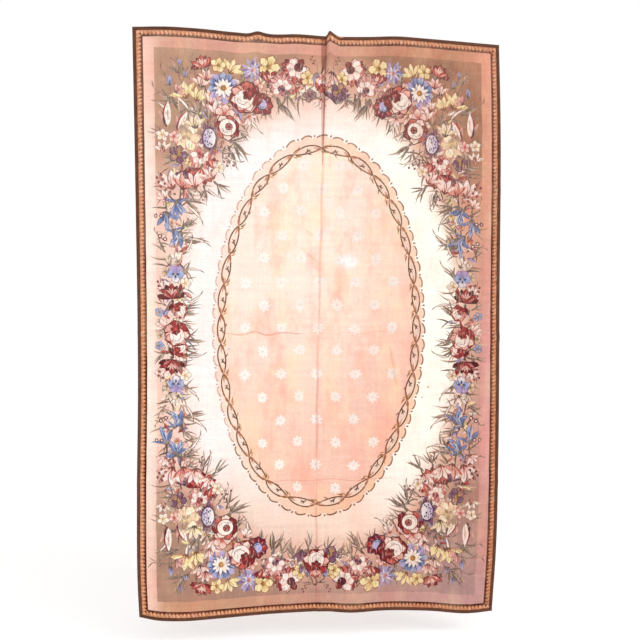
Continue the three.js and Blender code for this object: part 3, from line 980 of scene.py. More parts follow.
def rope_border(c, size):
    """Slanting strokes of light wool on copper, with dark notches, like a twisted rope."""
    twist, low, high = BORDER["twist"], BORDER["rope"], BORDER["line"]
    half = size[0] / 2
    sides = (
        (Spot(-half, 0, 0), size[0]), (Spot(half, 0, -90), size[1]),
        (Spot(half, size[1], 180), size[0]), (Spot(-half, size[1], 90), size[1]),
    )
    rng = random.Random(3)
    for corner, length in sides:
        count = round((length - 2 * low) / twist)
        for k in range(count):
            x = low + (length - 2 * low) * (k + 0.5) / count
            jog = rng.uniform(-0.8, 0.8)
            stroke = corner.step(x - 6 + jog, -low - 2.5, -58)
            light = rng.choice(("#f7c9a0", "#eeb088", "#f3bd8c", "#e8a67c"))
            c.petal(stroke, high - low - 1, 7.4, light, rng.choice(("#e9a67a", "#d99468")), blunt=0.5)
            notch = corner.step(x + twist / 2 + jog, -high - 0.6, 90)
            c.lay([notch.at(0, -5.2), notch.at(0, 5.2), notch.at(8.0, 0.8)], DARK_LINE, ground=EVEN)
            top = corner.step(x + twist / 2 + 2 + jog, -low, -90)
            c.lay([top.at(0, -3.6), top.at(0, 3.6), top.at(4.6, -0.8)], "#6a3518")


def soil_lines(c):
    """Painted shade along the lines where the cloth was folded: dark in the pinch, pink below it, and
    the fine ones; a painted highlight beside one fold; and small dark spots and a washed-out spot.
    """
    def run(x0, drop0, x1, drop1, width, tint, count=18, wander=2.0):
        """A wavering line from one place to another, widest in its middle."""
        shares = np.linspace(0, 1, count)
        sway = wander * np.sin(shares * 17 + drop0) * np.sin(shares * np.pi)
        line = [(x0 + (x1 - x0) * t + w * (x0 == x1), -drop0 - (drop1 - drop0) * t - w * (x0 != x1))
                for t, w in zip(shares, sway)]
        c.lay_shade_and_stain(line, 0.6 + width * np.sin(shares * np.pi) ** 0.5, tint)

    # Painted shade in the pinch: its shaded flank and the crease at its foot.
    c.lay_shade_and_stain([(-6, -2), (-6, -40), (-5, -120), (-4, -215), (-2, -400), (0, -530)],
             (22, 24, 21, 18, 13, 4), (0.74, 0.56, 0.55))
    c.lay_shade_and_stain([(-1, -2), (-1, -40), (-1, -120), (-1, -215), (0, -400), (0, -520)], (8, 9, 8, 7, 5, 1),
             (0.62, 0.5, 0.48))
    c.lay_shade_and_stain([(-16, -2), (-15, -60), (-12, -150), (-8, -260)], (16, 12, 8, 1), (0.82, 0.74, 0.72))
    # Painted shade along the long upright fold below the pinch.
    for width, tint in ((13, (0.94, 0.83, 0.82)), (5, (0.94, 0.83, 0.81))):
        run(1, 440, 1, 1236, width, tint)
        run(-1, 1240, -1, 1850, width, tint)
        run(0, 1860, 0, 2400, width, tint)
    # Painted shade along the cross folds and the small creases.
    run(-412, 1236, -64, 1240, 7, (0.84, 0.6, 0.58), wander=6)
    run(-64, 1240, 300, 1232, 3, (0.93, 0.8, 0.76), wander=4)
    run(-230, 1868, 330, 1862, 4, (0.9, 0.74, 0.72), wander=4)
    run(-86, 790, -8, 842, 3.6, (0.88, 0.8, 0.78), 8)
    run(-88, 876, -10, 940, 3.6, (0.88, 0.8, 0.78), 8)
    run(296, 1290, 330, 1470, 12, (0.93, 0.8, 0.74), 10)
    # A painted highlight on the lit flank of that fold.
    run(318, 1290, 348, 1476, 7, (1.04, 1.08, 1.12), 10)
    # Small dark spots.
    for across, drop, radius in ((462, 1465, 4.0), (437, 1510, 3.4), (-382, 1300, 2.6), (352, 806, 2.4)):
        c.lay_shade_and_stain([(across - radius, -drop), (across, -drop), (across + radius, -drop)],
                 (radius, 2 * radius, radius), (0.42, 0.32, 0.3))
    # A washed-out spot, paler towards its middle
    for half, tint in ((42, (1.01, 1.06, 1.1)), (32, (1.02, 1.08, 1.14)), (20, (1.02, 1.06, 1.1))):
        reach = [half * t for t in (-1, -0.75, -0.3, 0.2, 0.7, 1)]
        c.lay_shade_and_stain([(122 + t, -932 - 0.1 * t) for t in reach],
                 [1.8 * half * w for w in (0.2, 0.62, 0.9, 1.0, 0.66, 0.2)], tint)


def cloth_cartoon(size, seed):
    """The whole design, its outermost area first, with the cloth's own outline as points 0 to n."""
    c = Cartoon(FRONT["finer"], FRONT["least"])
    rng = random.Random(seed)
    half, drop = size[0] / 2, size[1]
    columns = np.linspace(-half, half, round(size[0] / FRONT["edge"]) + 1)
    rows = np.linspace(0, drop, round(drop / FRONT["edge"]) + 1)
    outline = [(x, -drop) for x in columns] + [(half, -y) for y in rows[::-1][1:]]
    outline += [(x, 0.0) for x in columns[::-1][1:]] + [(-half, -y) for y in rows[1:-1]]
    c.lay(outline, COPPER_EDGE, clear=1)
    c.rim = len(outline)
    c.lay(frame_outline(size, BORDER["copper"], rng), COPPER)
    c.lay(frame_outline(size, BORDER["line"], rng), DARK_LINE, ground=EVEN, clear=1)
    c.lay(frame_outline(size, BORDER["plain"], rng, 0.6), "blush", ground=BAND, clear=1)
    c.lay(frame_outline(size, BORDER["ground"], rng, 2.0, 40), "cream", ground=FIELD, clear=1)
    rope_border(c, size)
    scallop_band(c)
    c.lay([(x, -y) for x, y, _ in oval_points(OVAL["vine"], 96)], "ivory", ground=MIDDLE, clear=2)
    stars(c)
    vine(c)
    wreath(c, size, seed)
    soil_lines(c)
    return c


def mix(a, b, share):
    """From a to b as share goes from 0 to 1. Each is a hex colour or linear RGB."""
    a, b = (np.asarray(linear(v) if isinstance(v, str) else v) for v in (a, b))
    share = np.asarray(share)[..., None]
    return a * (1 - share) + b * share


def ground_colour(kind, x, y, size):
    """The colours of a dyed ground at places on it, with its blends.

    The left side is paler and the right warmer and darker, partly bleaching and partly painted light
    from the left. The top of the field is paler and the foot darker.
    """
    drop = -y
    right, down = smooth(-0.45, 0.45, x / size[0]), drop / size[1]
    middle = smooth(120, 700, drop) * smooth(2350, 1500, drop)
    if kind in (BAND, FIELD):
        # Paler on the left and darker on the right: partly bleaching, partly painted light.
        base = mix("#d69d8b", "#b97c62", smooth(0.4, 0.9, right))
        base = mix(base, mix("#cb9776", "#c2908c", right), smooth(0.7, 0.97, down))
        # Paler still at the left edge, nearly white at middle height: painted light.
        base = mix(base, "#f8cbba", smooth(-640, -716, x))
        rosy = mix("#d89a82", "#d89a96", smooth(0.2, 0.6, down))
        base = mix(base, rosy, smooth(640, 716, x) * smooth(0.92, 0.7, down))
        base = mix(base, "#fdeee2", smooth(-600, -735, x) * middle)
    if kind == BAND:
        return base
    if kind == FIELD:
        inwards = np.minimum(np.minimum(size[0] / 2 - np.abs(x), drop), size[1] - drop)
        inside = np.hypot(x / 640, (drop - size[1] / 2) / 1040)
        # The tan darker to the right and pale pink on the left: painted light from the left.
        tan = mix("#b78f78", "#996a53", right)
        tan = mix(tan, mix("#a7806c", "#ac8480", right), smooth(0.7, 0.95, down))
        sides = smooth(450, 760, drop) * smooth(2000, 1700, drop)
        tan = mix(tan, "#f5cab9", sides * smooth(0.8, 0.2, right))
        rosy = mix("#cf9479", "#c08c82", smooth(0.25, 0.6, down))
        tan = mix(tan, rosy, sides * smooth(0.2, 0.8, right))
        tan = mix(base, tan, smooth(40, 88, inwards))
        inner = mix("#d6a18c", "#f7d3c5", sides * smooth(0.8, 0.2, right))
        tan = mix(inner, tan, smooth(0.98, 1.14, inside))
        cream = mix("#fff5f1", "#fff9ec", smooth(0, 400, x))
        low = mix("#f8d8c6", "#fdeae0", smooth(150, 500, x))
        low = mix(low, "#e8bfad", smooth(2040, 2220, drop))
        cream = mix(cream, low, smooth(1650, 2120, drop))
        cream = mix(cream, "#fae0d2", smooth(460, 280, drop))
        return mix(cream, tan, smooth(0.86, 1.0, inside))
    if kind == MIDDLE:
        top = mix("#fdeadc", "#f8d8c6", smooth(-100, 330, x))
        low = mix("#f8ccb8", "#f2bba8", smooth(-150, 330, x))
        return mix(top, low, np.clip(smooth(900, 1850, drop) + 0.4 * smooth(150, 400, x), 0, 1))
    return mix("#fde6d8", "#f4bc98", 0.6 * smooth(0.1, 0.7, right) + 0.4 * smooth(0.4, 1, down))


def grid_points(size, step, along):
    """Places where the sheet needs a point for its folds, whatever is woven there.

    step is the wide grid's pitch, and along the spacing down the pinch and its crease. The
    fractions of a millimetre keep them off the round numbers of the outlines.
    """
    half, drop = size[0] / 2, size[1]
    found = []
    for x in np.arange(-half + 20, half - 10, step):
        found += [(x + 0.37, -y - 0.21) for y in np.arange(20, drop - 10, step)]
    for x in PINCH_COLUMNS:
        found += [(x + 0.13, -y - 0.11) for y in np.arange(7, drop - 5, along)]
    for a0, d0, a1, d1, half_width, _ in SMALL_CREASES:
        length = math.hypot(a1 - a0, d1 - d0)
        line = Spot(a0, d0, math.degrees(math.atan2(-(d1 - d0), a1 - a0)))
        for ahead in np.arange(0, length, 0.75 * along):
            found += [line.at(ahead, aside * half_width) for aside in (-2, -1.2, -0.6, 0, 0.6, 1.2, 2)]
    for fold, _ in CROSS_FOLDS:
        for x in np.arange(-half + 10, half - 8, 2.3 * along):
            found += [(x + 0.29, -fold + away + 0.07) for away in FOLD_ROWS]
    return found


def inside_outline(outline, x, y):
    """Which of the places lie inside an outline, where it crosses itself too."""
    turns = np.zeros(len(x), int)
    ends = np.concatenate([outline, np.roll(outline, -1, axis=0)], 1)
    for first in range(0, len(ends), 16):
        x0, y0, x1, y1 = ends[first:first + 16].T[..., None]
        side = (x1 - x0) * (y - y0) - (x - x0) * (y1 - y0)
        turns += ((y0 <= y) & (y1 > y) & (side > 0)).sum(0)
        turns -= ((y0 > y) & (y1 <= y) & (side < 0)).sum(0)
    return turns != 0


def top_areas(c, centres, areas=None):
    """The uppermost area at each place, of all areas or of those given."""
    order = np.argsort(centres[:, 0])
    x, y = centres[order].T
    top = np.zeros(len(x), int)
    points = np.array(c.points)
    for number in range(len(c.outlines)) if areas is None else areas:
        outline = c.outlines[number]
        part = points[outline.start:outline.stop]
        (low_x, low_y), (high_x, high_y) = part.min(0), part.max(0)
        first, last = np.searchsorted(x, (low_x, high_x))
        near = first + np.flatnonzero((y[first:last] > low_y) & (y[first:last] < high_y))
        top[near[inside_outline(part, x[near], y[near])]] = number
    found = np.empty(len(x), int)
    found[order] = top
    return found


def seen_edges(c):
    """The edges of all outlines that no later area covers."""
    points = np.array(c.points)
    ends = [np.stack([np.arange(o.start, o.stop), np.roll(np.arange(o.start, o.stop), -1)], 1)
            for o in c.outlines]
    area = np.concatenate([np.full(len(e), k) for k, e in enumerate(ends)])
    ends = np.concatenate(ends)
    seen = np.zeros(len(ends), bool)
    for share in (0.25, 0.75):
        places = points[ends[:, 0]] * (1 - share) + points[ends[:, 1]] * share
        seen |= top_areas(c, places) <= area
    return ends[seen]


def cut(c, points, edges):
    """Cut the flat cloth along edges, through points. Returns points, triangles and the rim."""
    flat = [Vector(p) for p in points]
    verts, _, faces, from_verts, _, _ = delaunay_2d_cdt(flat, edges, [], 0, 0.5, True)
    rim = [0] * c.rim
    for index, sources in enumerate(from_verts):
        for source in sources:
            if source < c.rim:
                rim[source] = index
    return np.array([(v.x, v.y) for v in verts]), np.array(faces), rim


def ring(first, count):
    """The edges that close a run of points."""
    return [(first + k, first + (k + 1) % count) for k in range(count)]


def weave_front(c, size):
    """The front, cut along every seen edge: points, triangles, the colours of their corners, the rim."""
    edges = seen_edges(c)
    kept, edges = np.unique(np.concatenate([np.arange(c.rim), edges.ravel()]), return_inverse=True)
    edges = edges[c.rim:].reshape(-1, 2).tolist()
    points = [c.points[k] for k in kept]
    for outline, _ in c.soil:
        edges += ring(len(points), len(outline))
        points += outline.tolist()
    found, triangles, rim = cut(c, points + grid_points(size, FRONT["grid"], FRONT["along"]), edges)
    owner = top_areas(c, found[triangles].mean(1))
    owner = np.repeat(owner[:, None], 3, axis=1)
    return found, triangles, area_colours(c, found[triangles], owner, size), rim


def wreath_points(size, pitch):
    """Places at an even pitch all over the wreath."""
    rows = np.array(WREATH, float)
    shares = np.linspace(0, len(rows) - 1, 120)
    path = np.stack([np.interp(shares, np.arange(len(rows)), rows[:, k]) for k in range(3)], 1)
    inset, over = BORDER["ground"] + 4, 28
    found = []
    for row, y in enumerate(np.arange(inset + 4, size[1] / 2, pitch * 0.87)):
        x = np.arange(-size[0] / 2 + inset + pitch / 2 * (row % 2), -4, pitch)
        gap = np.hypot(x[:, None] - path[:, 0], y - path[:, 1]) - path[:, 2] - over
        for kept in x[gap.min(1) < 0]:
            found += [(side * kept, -down) for side in (1, -1) for down in (y, size[1] - y)]
    return found


def weave_back(c, size):
    """The back of the same cloth. Its design shows through from the front, softened by the yarns
    that cross there, and sharp only at the borders and the vine. Returns what weave_front does."""
    points, edges = [], []
    for number, every in c.clear.items():
        outline = c.outlines[number][::every]
        edges += ring(len(points), len(outline))
        points += [c.points[k] for k in outline]
    points += grid_points(size, BACK["grid"], BACK["along"]) + wreath_points(size, BACK["pitch"])
    for spot in c.stars:
        points.append(spot.at(0, 0))
        points += [spot.step(turn=60 * k).at(reach, 0) for k in range(6) for reach in (14, 28)]
    found, triangles, rim = cut(c, points, edges)
    at = found[triangles]
    places = 0.75 * at + 0.25 * at.mean(1, keepdims=True)
    owner = top_areas(c, places.reshape(-1, 2)).reshape(places.shape[:2])
    # The wide triangles between the wreath and the oval show no more than their own ground
    zone = top_areas(c, at.mean(1), c.clear)
    (ax, ay), (bx, by) = (at[:, 1] - at[:, 0]).T, (at[:, 2] - at[:, 0]).T
    wide = np.abs(ax * by - ay * bx) / 2 > BACK["wide"]
    owner[wide] = zone[wide][:, None]
    colours = area_colours(c, places, owner, size)
    # A corner gets the mean of what lies round it on its own side of the clear edges. Where a wide
    # triangle meets it, that one's ground outweighs the rest, so that the wreath fades into it.
    _, corner = np.unique(triangles * len(c.outlines) + zone[:, None], return_inverse=True)
    corner = corner.reshape(triangles.shape)
    fine_weight = 0.001
    weight = np.repeat(np.where(wide, 1.0, fine_weight)[:, None], 3, axis=1)
    total = np.zeros((corner.max() + 1, 4))
    np.add.at(total, corner, colours * weight[..., None])
    colours = total[corner] / np.bincount(corner.ravel(), weight.ravel())[corner][..., None]
    return found, triangles, colours, rim


def area_colours(c, at, owner, size):
    """The colour and the mottling at places near the corners of triangles, from their areas' dyes."""
    start, end = np.array(c.start)[owner], np.array(c.end)[owner]
    run = end - start
    share = ((at - start) * run).sum(-1) / np.maximum((run * run).sum(-1), 1e-6)
    colours = mix(np.array(c.near)[owner], np.array(c.far)[owner], np.clip(share, 0, 1))
    # The shapes are a little paler at the top, and darker and warmer to the right: painted light, bright
    # from the left and falling off to the right.
    colours = mix(colours, "#f7e2d2", 0.07 * smooth(1500, 300, -at[..., 1]))
    colours = colours * mix((1.0, 0.96, 0.96), (0.83, 0.73, 0.70), smooth(-500, 600, at[..., 0]))
    kinds = np.array(c.ground)[owner]
    mottle = np.where(kinds == EVEN, MOTTLING[EVEN], MOTTLING[HATCHED])
    for kind in (BAND, FIELD, MIDDLE, PEACH):
        here = kinds == kind
        x, y = at[here].T
        colours[here] = ground_colour(kind, x, y, size)
        mottle[here] = MOTTLING[kind]
    x, y = at.mean(1).T
    # Painted shade and highlights along the folds, and the dark spots and the washed-out spot, dyed
    # through what lies beneath.
    for outline, tint in c.soil:
        colours[inside_outline(outline, x, y)] *= tint
    return np.concatenate([colours, mottle[..., None]], -1)


def set_corner_data(mesh, colours, uvs):
    """Write the dyes and the unfolded map of every face corner."""
    dye = mesh.color_attributes.new("dye", "FLOAT_COLOR", "CORNER")
    dye.data.foreach_set("color", colours.astype(np.float32).ravel())
    layer = mesh.uv_layers.new(name="OFBake")
    layer.data.foreach_set("uv", uvs.astype(np.float32).ravel())


def add_object(name, mesh, material):
    """A visible piece in the scene, on the part's only body."""
    made = bpy.data.objects.new(name, mesh)
    bpy.context.scene.collection.objects.link(made)
    mesh.materials.append(material)
    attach(made, "root")
    return made


# The unfolded map: the front in its left half, the back in its right, the cut edge between them
UNFOLDED = {"middle": 0.245, "width": 0.49 * 0.985, "foot": 0.005, "height": 0.99, "to_back": 0.51}
RIM_ISLAND = {"scale": 0.002, "corner": 0.498}


def unfolded(flat, faces, size, front_count, wall_count):
    """The map's place of every face corner."""
    u = UNFOLDED["middle"] + UNFOLDED["width"] * flat[:, 0] / size[0]
    v = UNFOLDED["foot"] + UNFOLDED["height"] * (1 + flat[:, 1] / size[1])
    uvs = np.stack([u, v], 1)[faces]
    uvs[front_count:-wall_count, :, 0] += UNFOLDED["to_back"]
    uvs[-wall_count:] = uvs[-wall_count:] * RIM_ISLAND["scale"] + RIM_ISLAND["corner"]
    return uvs


def cloth_mesh(hang, size, thickness, seed):
    """One closed sheet: a finely woven front, a softer back, and the cut edge between."""
    c = cloth_cartoon(size, seed)
    front, front_faces, front_colours, front_rim = weave_front(c, size)
    back, back_faces, back_colours, back_rim = weave_back(c, size)
    front_at = hang.place(front[:, 0], -front[:, 1], np.full(len(front), -thickness / 2))
    back_at = hang.place(back[:, 0], -back[:, 1], np.full(len(back), thickness / 2))
    # The back's points follow the front's, its faces are turned round, and walls join the rims
    first = len(front)
    back_turned = back_faces[:, ::-1] + first
    walls = []
    for k, a in enumerate(front_rim):
        b = front_rim[(k + 1) % len(front_rim)]
        a2, b2 = back_rim[k] + first, back_rim[(k + 1) % len(back_rim)] + first
        walls += [(b, a, a2), (b, a2, b2)]
    faces = np.concatenate([front_faces, back_turned, walls])
    points = np.concatenate([front_at, back_at]) * MM
    flat = np.concatenate([front, back])
    wall_colours = np.tile([*linear(COPPER_EDGE), 0.1], (len(walls), 3, 1))
    colours = np.concatenate([front_colours, back_colours[:, ::-1], wall_colours])
    uvs = unfolded(flat, faces, size, len(front_faces), len(walls))
    mesh = bpy.data.meshes.new("woven_cloth")
    mesh.from_pydata(points.tolist(), [], faces.tolist())
    mesh.validate()
    mesh.update()
    if len(mesh.polygons) != len(faces):
        raise RuntimeError("the woven sheet lost faces")
    set_corner_data(mesh, colours.reshape(-1, 4), uvs.reshape(-1, 2))
    out = hang.backward(flat[:, 0], -flat[:, 1])
    out[:first] *= -1
    mesh.shade_smooth()
    mesh.normals_split_custom_set_from_vertices(out.tolist())
    return mesh


def new_material(name, finish):
    """A material and its tree, with only its output and a Principled shader of that finish in it."""
    material = bpy.data.materials.new(name)
    material.use_nodes = True
    tree = material.node_tree
    tree.nodes.clear()
    out = tree.nodes.new("ShaderNodeOutputMaterial")
    shader = tree.nodes.new("ShaderNodeBsdfPrincipled")
    tree.links.new(shader.outputs["BSDF"], out.inputs["Surface"])
    for key, value in finish.items():
        shader.inputs[key].default_value = value
    return material, tree, shader


def node(tree, kind, settings=None, links=None):
    """Add a node, set its properties and socket values, and link its inputs."""
    made = tree.nodes.new("ShaderNode" + kind)
    for key, value in (settings or {}).items():
        if isinstance(key, str) and hasattr(made, key):
            setattr(made, key, value)
        else:
            made.inputs[key].default_value = value
    for key, source in (links or {}).items():
        tree.links.new(source, made.inputs[key])
    return made


def ramp(made, stops):
    """Set the stops of a colour ramp, each a position and a linear colour."""
    bar = made.color_ramp
    while len(bar.elements) < len(stops):
        bar.elements.new(1.0)
    for element, (position, value) in zip(bar.elements, stops):
        element.position = position
        element.color = (*value, 1)


def wool_flatweave():
    """Hand-woven wool: matt, ribbed down the cloth, its dyes streaked where a yarn lot changed.

    The ribs of such a cloth are 2 mm apart. They are drawn at 3.2 mm, and the thick and thin of
    the yarn at 9 mm, so that they still show when the whole cloth is in view.
    """
    material, tree, shader = new_material("wool_flatweave", {
        "Roughness": 0.92, "Specular IOR Level": 0.2, "Sheen Weight": 0.12, "Sheen Roughness": 0.5})
    place = node(tree, "TexCoord").outputs["Object"]
    dye = node(tree, "Attribute", {"attribute_name": "dye"})

    def streaks(scale, detail, stretch, low, high):
        """Noise between low and high, stretched along the yarns."""
        spot = node(tree, "Mapping", {"Scale": stretch}, {"Vector": place})
        noise = node(tree, "TexNoise", {"Scale": scale, "Detail": detail, "Roughness": 0.6},
                     {"Vector": spot.outputs["Vector"]})
        return node(tree, "MapRange", {"From Min": 0.3, "From Max": 0.7, "To Min": low, "To Max": high},
                    {"Value": noise.outputs["Fac"]}).outputs["Result"]

    def patches(colour, tint, seed, stretch, noise, edges, strength, where):
        """The colour with a tint over it in patches of noise, as strong as where says."""
        spot = node(tree, "Mapping", {"Location": (seed, 0, seed), "Scale": stretch}, {"Vector": place})
        cloud = node(tree, "TexNoise", noise, {"Vector": spot.outputs["Vector"]})
        amount = node(tree, "MapRange", {"From Min": edges[0], "From Max": edges[1], "To Max": strength},
                      {"Value": cloud.outputs["Fac"]})
        amount = node(tree, "Math", {"operation": "MULTIPLY"}, {0: amount.outputs["Result"], 1: where})
        return node(tree, "Mix", {"data_type": "RGBA", 7: (*linear(tint), 1)},
                    {0: amount.outputs[0], 6: colour}).outputs[2]

    # Uneven dye: long level streaks, fine upright ones, and the slubs of the yarn
    level = streaks(9.0, 5.0, (0.5, 1, 5.0), 0.84, 0.97)
    upright = streaks(26.0, 4.0, (2.6, 1, 0.16), 0.955, 1.035)
    slub = streaks(110.0, 2.0, (1.0, 1, 2.2), 0.93, 1.06)
    tone = node(tree, "Math", {"operation": "MULTIPLY"}, {0: level, 1: upright})
    tone = node(tree, "Math", {"operation": "MULTIPLY"}, {0: tone.outputs[0], 1: slub})
    shaded = node(tree, "VectorMath", {"operation": "SCALE"},
                  {0: dye.outputs["Color"], "Scale": tone.outputs[0]})
    # Clouds of pink and straw where the ground has aged, as strong as the ground's alpha says
    colour = shaded.outputs["Vector"]
    for seed, tint, scale, strength in ((0.0, "#f09c84", 5.0, 0.66), (7.0, "#fbdcae", 4.2, 0.55)):
        noise = {"Scale": scale, "Detail": 9.0, "Roughness": 0.7}
        colour = patches(colour, tint, seed, (1.6, 1, 0.9), noise, (0.47, 0.7), strength,
                         dye.outputs["Alpha"])
    # Hatching: short upright strokes of a darker and a paler yarn across the flowers and leaves
    drawn = node(tree, "MapRange", {"From Min": MOTTLING[EVEN], "From Max": 0.14},
                 {"Value": dye.outputs["Alpha"]})
    noise = {"Scale": 62.0, "Detail": 3.0, "Roughness": 0.5}
    for seed, tint, low, strength in ((3.0, "#4a2622", 0.54, 0.36), (11.0, "#ffe9d6", 0.56, 0.2)):
        colour = patches(colour, tint, seed, (2.2, 1, 0.75), noise, (low, low + 0.08), strength,
                         drawn.outputs["Result"])
    tree.links.new(colour, shader.inputs["Base Color"])
    # The ribs and the beads of yarn along them. The bands lie 314 mm apart, divided by their scale.
    ribs = node(tree, "TexWave", {"wave_type": "BANDS", "bands_direction": "X", "Scale": 98.0,
                                  "Distortion": 0.6, "Detail": 1.0}, {"Vector": place})
    beads = node(tree, "TexWave", {"wave_type": "BANDS", "bands_direction": "Z", "Scale": 160.0,
                                   "Distortion": 1.2, "Detail": 1.0}, {"Vector": place})
    woven = node(tree, "Math", {"operation": "MULTIPLY"},
                 {0: ribs.outputs["Fac"], 1: beads.outputs["Fac"]})
    height = node(tree, "Math", {"operation": "ADD"}, {0: woven.outputs[0], 1: slub})
    bump = node(tree, "Bump", {"Strength": 0.5, "Distance": 0.0009}, {"Height": height.outputs[0]})
    tree.links.new(bump.outputs["Normal"], shader.inputs["Normal"])
    return material


def wool_tape():
    """Brown woven wool tape: a close slanting twill, with painted shade in its hollows."""
    material, tree, shader = new_material("wool_twill_tape", {
        "Roughness": 0.88, "Specular IOR Level": 0.25, "Sheen Weight": 0.15})
    place = node(tree, "TexCoord").outputs["Object"]
    slant = node(tree, "Mapping", {"Rotation": (0, math.radians(38), 0)}, {"Vector": place})
    twill = node(tree, "TexWave", {"Scale": 70.0, "Distortion": 1.5, "Detail": 2.0},
                 {"Vector": slant.outputs["Vector"]})
    lots = node(tree, "TexNoise", {"Scale": 24.0, "Detail": 5.0}, {"Vector": place})
    height = node(tree, "Math", {"operation": "ADD"}, {0: twill.outputs["Fac"], 1: lots.outputs["Fac"]})
    # The colour follows the height: painted shade in the twill's hollows, with lots of lighter and
    # darker yarn.
    tone = node(tree, "MapRange", {"From Min": 0.4, "From Max": 1.5}, {"Value": height.outputs[0]})
    colour = node(tree, "ValToRGB", {}, {"Fac": tone.outputs["Result"]})
    ramp(colour, ((0.0, linear("#2f1a12")), (0.55, linear("#54301f")), (1.0, linear("#7a4c34"))))
    tree.links.new(colour.outputs["Color"], shader.inputs["Base Color"])
    bump = node(tree, "Bump", {"Strength": 0.6, "Distance": 0.0008}, {"Height": height.outputs[0]})
    tree.links.new(bump.outputs["Normal"], shader.inputs["Normal"])
    return material


def plaster_floor(colour):
    """Painted plaster: matt and all but even."""
    material, tree, shader = new_material("painted_plaster", {"Roughness": 0.8})
    place = node(tree, "TexCoord").outputs["Object"]
    noise = node(tree, "TexNoise", {"Scale": 3.0, "Detail": 3.0}, {"Vector": place})
    shade = node(tree, "ValToRGB", {}, {"Fac": noise.outputs["Fac"]})
    ramp(shade, ((0.3, tuple(0.995 * v for v in colour)), (0.7, tuple(colour))))
    tree.links.new(shade.outputs["Color"], shader.inputs["Base Color"])
    return material


# The tape in mm: the radius of its folds, the slant of its inner edge, how much it swells, and
# from where in its section the points of its inner edge and of its outer skin do so
TAPE = {"fold": 1.6, "slant": 0.3, "swell": (-0.25, 0.35), "edge_from": 5, "skin_from": 2.2}


def tape_section(width, thickness, inside, gap):
    """The folded tape's section, with rounded folds: (inwards, out of the back) in mm."""
    outside, reach, fold = inside + thickness, gap + thickness, TAPE["fold"]
    rounded = []
    for turn in np.linspace(0, 90, 4):
        t = math.radians(turn)
        rounded.append((-reach + fold * (1 - math.sin(t)), -outside + fold * (1 - math.cos(t))))
    front = [(width, -inside), (width - TAPE["slant"], -outside)] + rounded
    back = [(a, -o) for a, o in front[::-1]]
    return front + back + [(-gap, inside), (-gap, -inside)]


def tape_mesh(name, hang, stops, section, rng):
    """A length of tape along its stops, each of which gives the place at an inward distance.

    At every stop its inner edge strays a little, and its outer skin swells with it.
    """
    points, faces = [], []
    count = len(section)
    for stop in stops:
        swell = rng.uniform(*TAPE["swell"])
        at = np.array([stop(a + swell * (a > TAPE["edge_from"])) for a, _ in section], float)
        fat = [max(0, swell) * (abs(o) > TAPE["skin_from"]) for _, o in section]
        out = np.array([o + math.copysign(f, o) for f, (_, o) in zip(fat, section)])
        points.append(hang.place(at[:, 0], at[:, 1], out) * MM)
    for s in range(len(stops) - 1):
        for k in range(count):
            a, b = s * count + k, s * count + (k + 1) % count
            faces.append((a, a + count, b + count, b))
    # The ends: each step along the front of the section with its like on the back
    last = (len(stops) - 1) * count
    for a in range(count // 2 - 2):
        b, back_a, back_b = a + 1, count - 3 - a, count - 4 - a
        faces.append((a, b, back_b, back_a))
        faces.append((last + b, last + a, last + back_a, last + back_b))
    mesh = bpy.data.meshes.new(name)
    mesh.from_pydata(np.concatenate(points).tolist(), [], faces)
    mesh.update()
    return mesh


def close_ends(mesh):
    """Close the two ends of a tape, and turn its faces out."""
    work = bmesh.new()
    work.from_mesh(mesh)
    loose = [e for e in work.edges if e.is_boundary]
    if loose:
        bmesh.ops.triangle_fill(work, edges=loose, use_beauty=True, use_dissolve=False)
    bmesh.ops.recalc_face_normals(work, faces=work.faces)
    work.to_mesh(mesh)
    work.free()
    mesh.update()
    mesh.shade_smooth()


class TapestrySizes(PropertyGroup):
    """Sizes of the cloth and its tape"""
    width: FloatProperty(
        name="Width", description="Width of the cut cloth", default=1.524, unit="LENGTH")
    drop: FloatProperty(
        name="Drop", description="Height of the cut cloth", default=2.438, unit="LENGTH")
    thickness: FloatProperty(
        name="Thickness", description="Thickness of the flatweave", default=0.003, unit="LENGTH")
    tape_width: FloatProperty(
        name="Tape width", description="What the tape covers on each face", default=0.012, unit="LENGTH")
    tape_thickness: FloatProperty(
        name="Tape thickness", description="Thickness of the tape", default=0.0012, unit="LENGTH")
    gap: FloatProperty(
        name="Gap", description="Gap between the tape and the cloth", default=0.0003, unit="LENGTH")
    seed: IntProperty(
        name="Seed", description="Seed of the weaver's small unevenness", default=11)


class TapestryStage(PropertyGroup):
    """Colours and light of the stage"""
    floor_colour: FloatVectorProperty(
        name="Floor", description="Colour of the floor", subtype="COLOR", size=3,
        default=linear("#ffffff"), min=0, max=1)
    light: FloatProperty(
        name="Light", description="Strength of the light all round", default=1.0)


def sizes_in_mm(context):
    """The sizes of the panel, turned from metres."""
    s = context.scene.tapestry_sizes
    return {key: getattr(s, key) / MM for key in
            ("width", "drop", "thickness", "tape_width", "tape_thickness", "gap")}


class TAPESTRY_OT_cloth(Operator):
    """Weave the cloth with its whole design as one closed sheet"""
    bl_idname = "tapestry.weave_cloth"
    bl_label = "Weave the cloth"

    def execute(self, context):
        mm = sizes_in_mm(context)
        size = (mm["width"], mm["drop"])
        hang = Hang(*size, mm["tape_width"])
        mesh = cloth_mesh(hang, size, mm["thickness"], context.scene.tapestry_sizes.seed)
        cloth = add_object("woven_cloth", mesh, wool_flatweave())
        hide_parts("woven_panel")
        return {"FINISHED"}


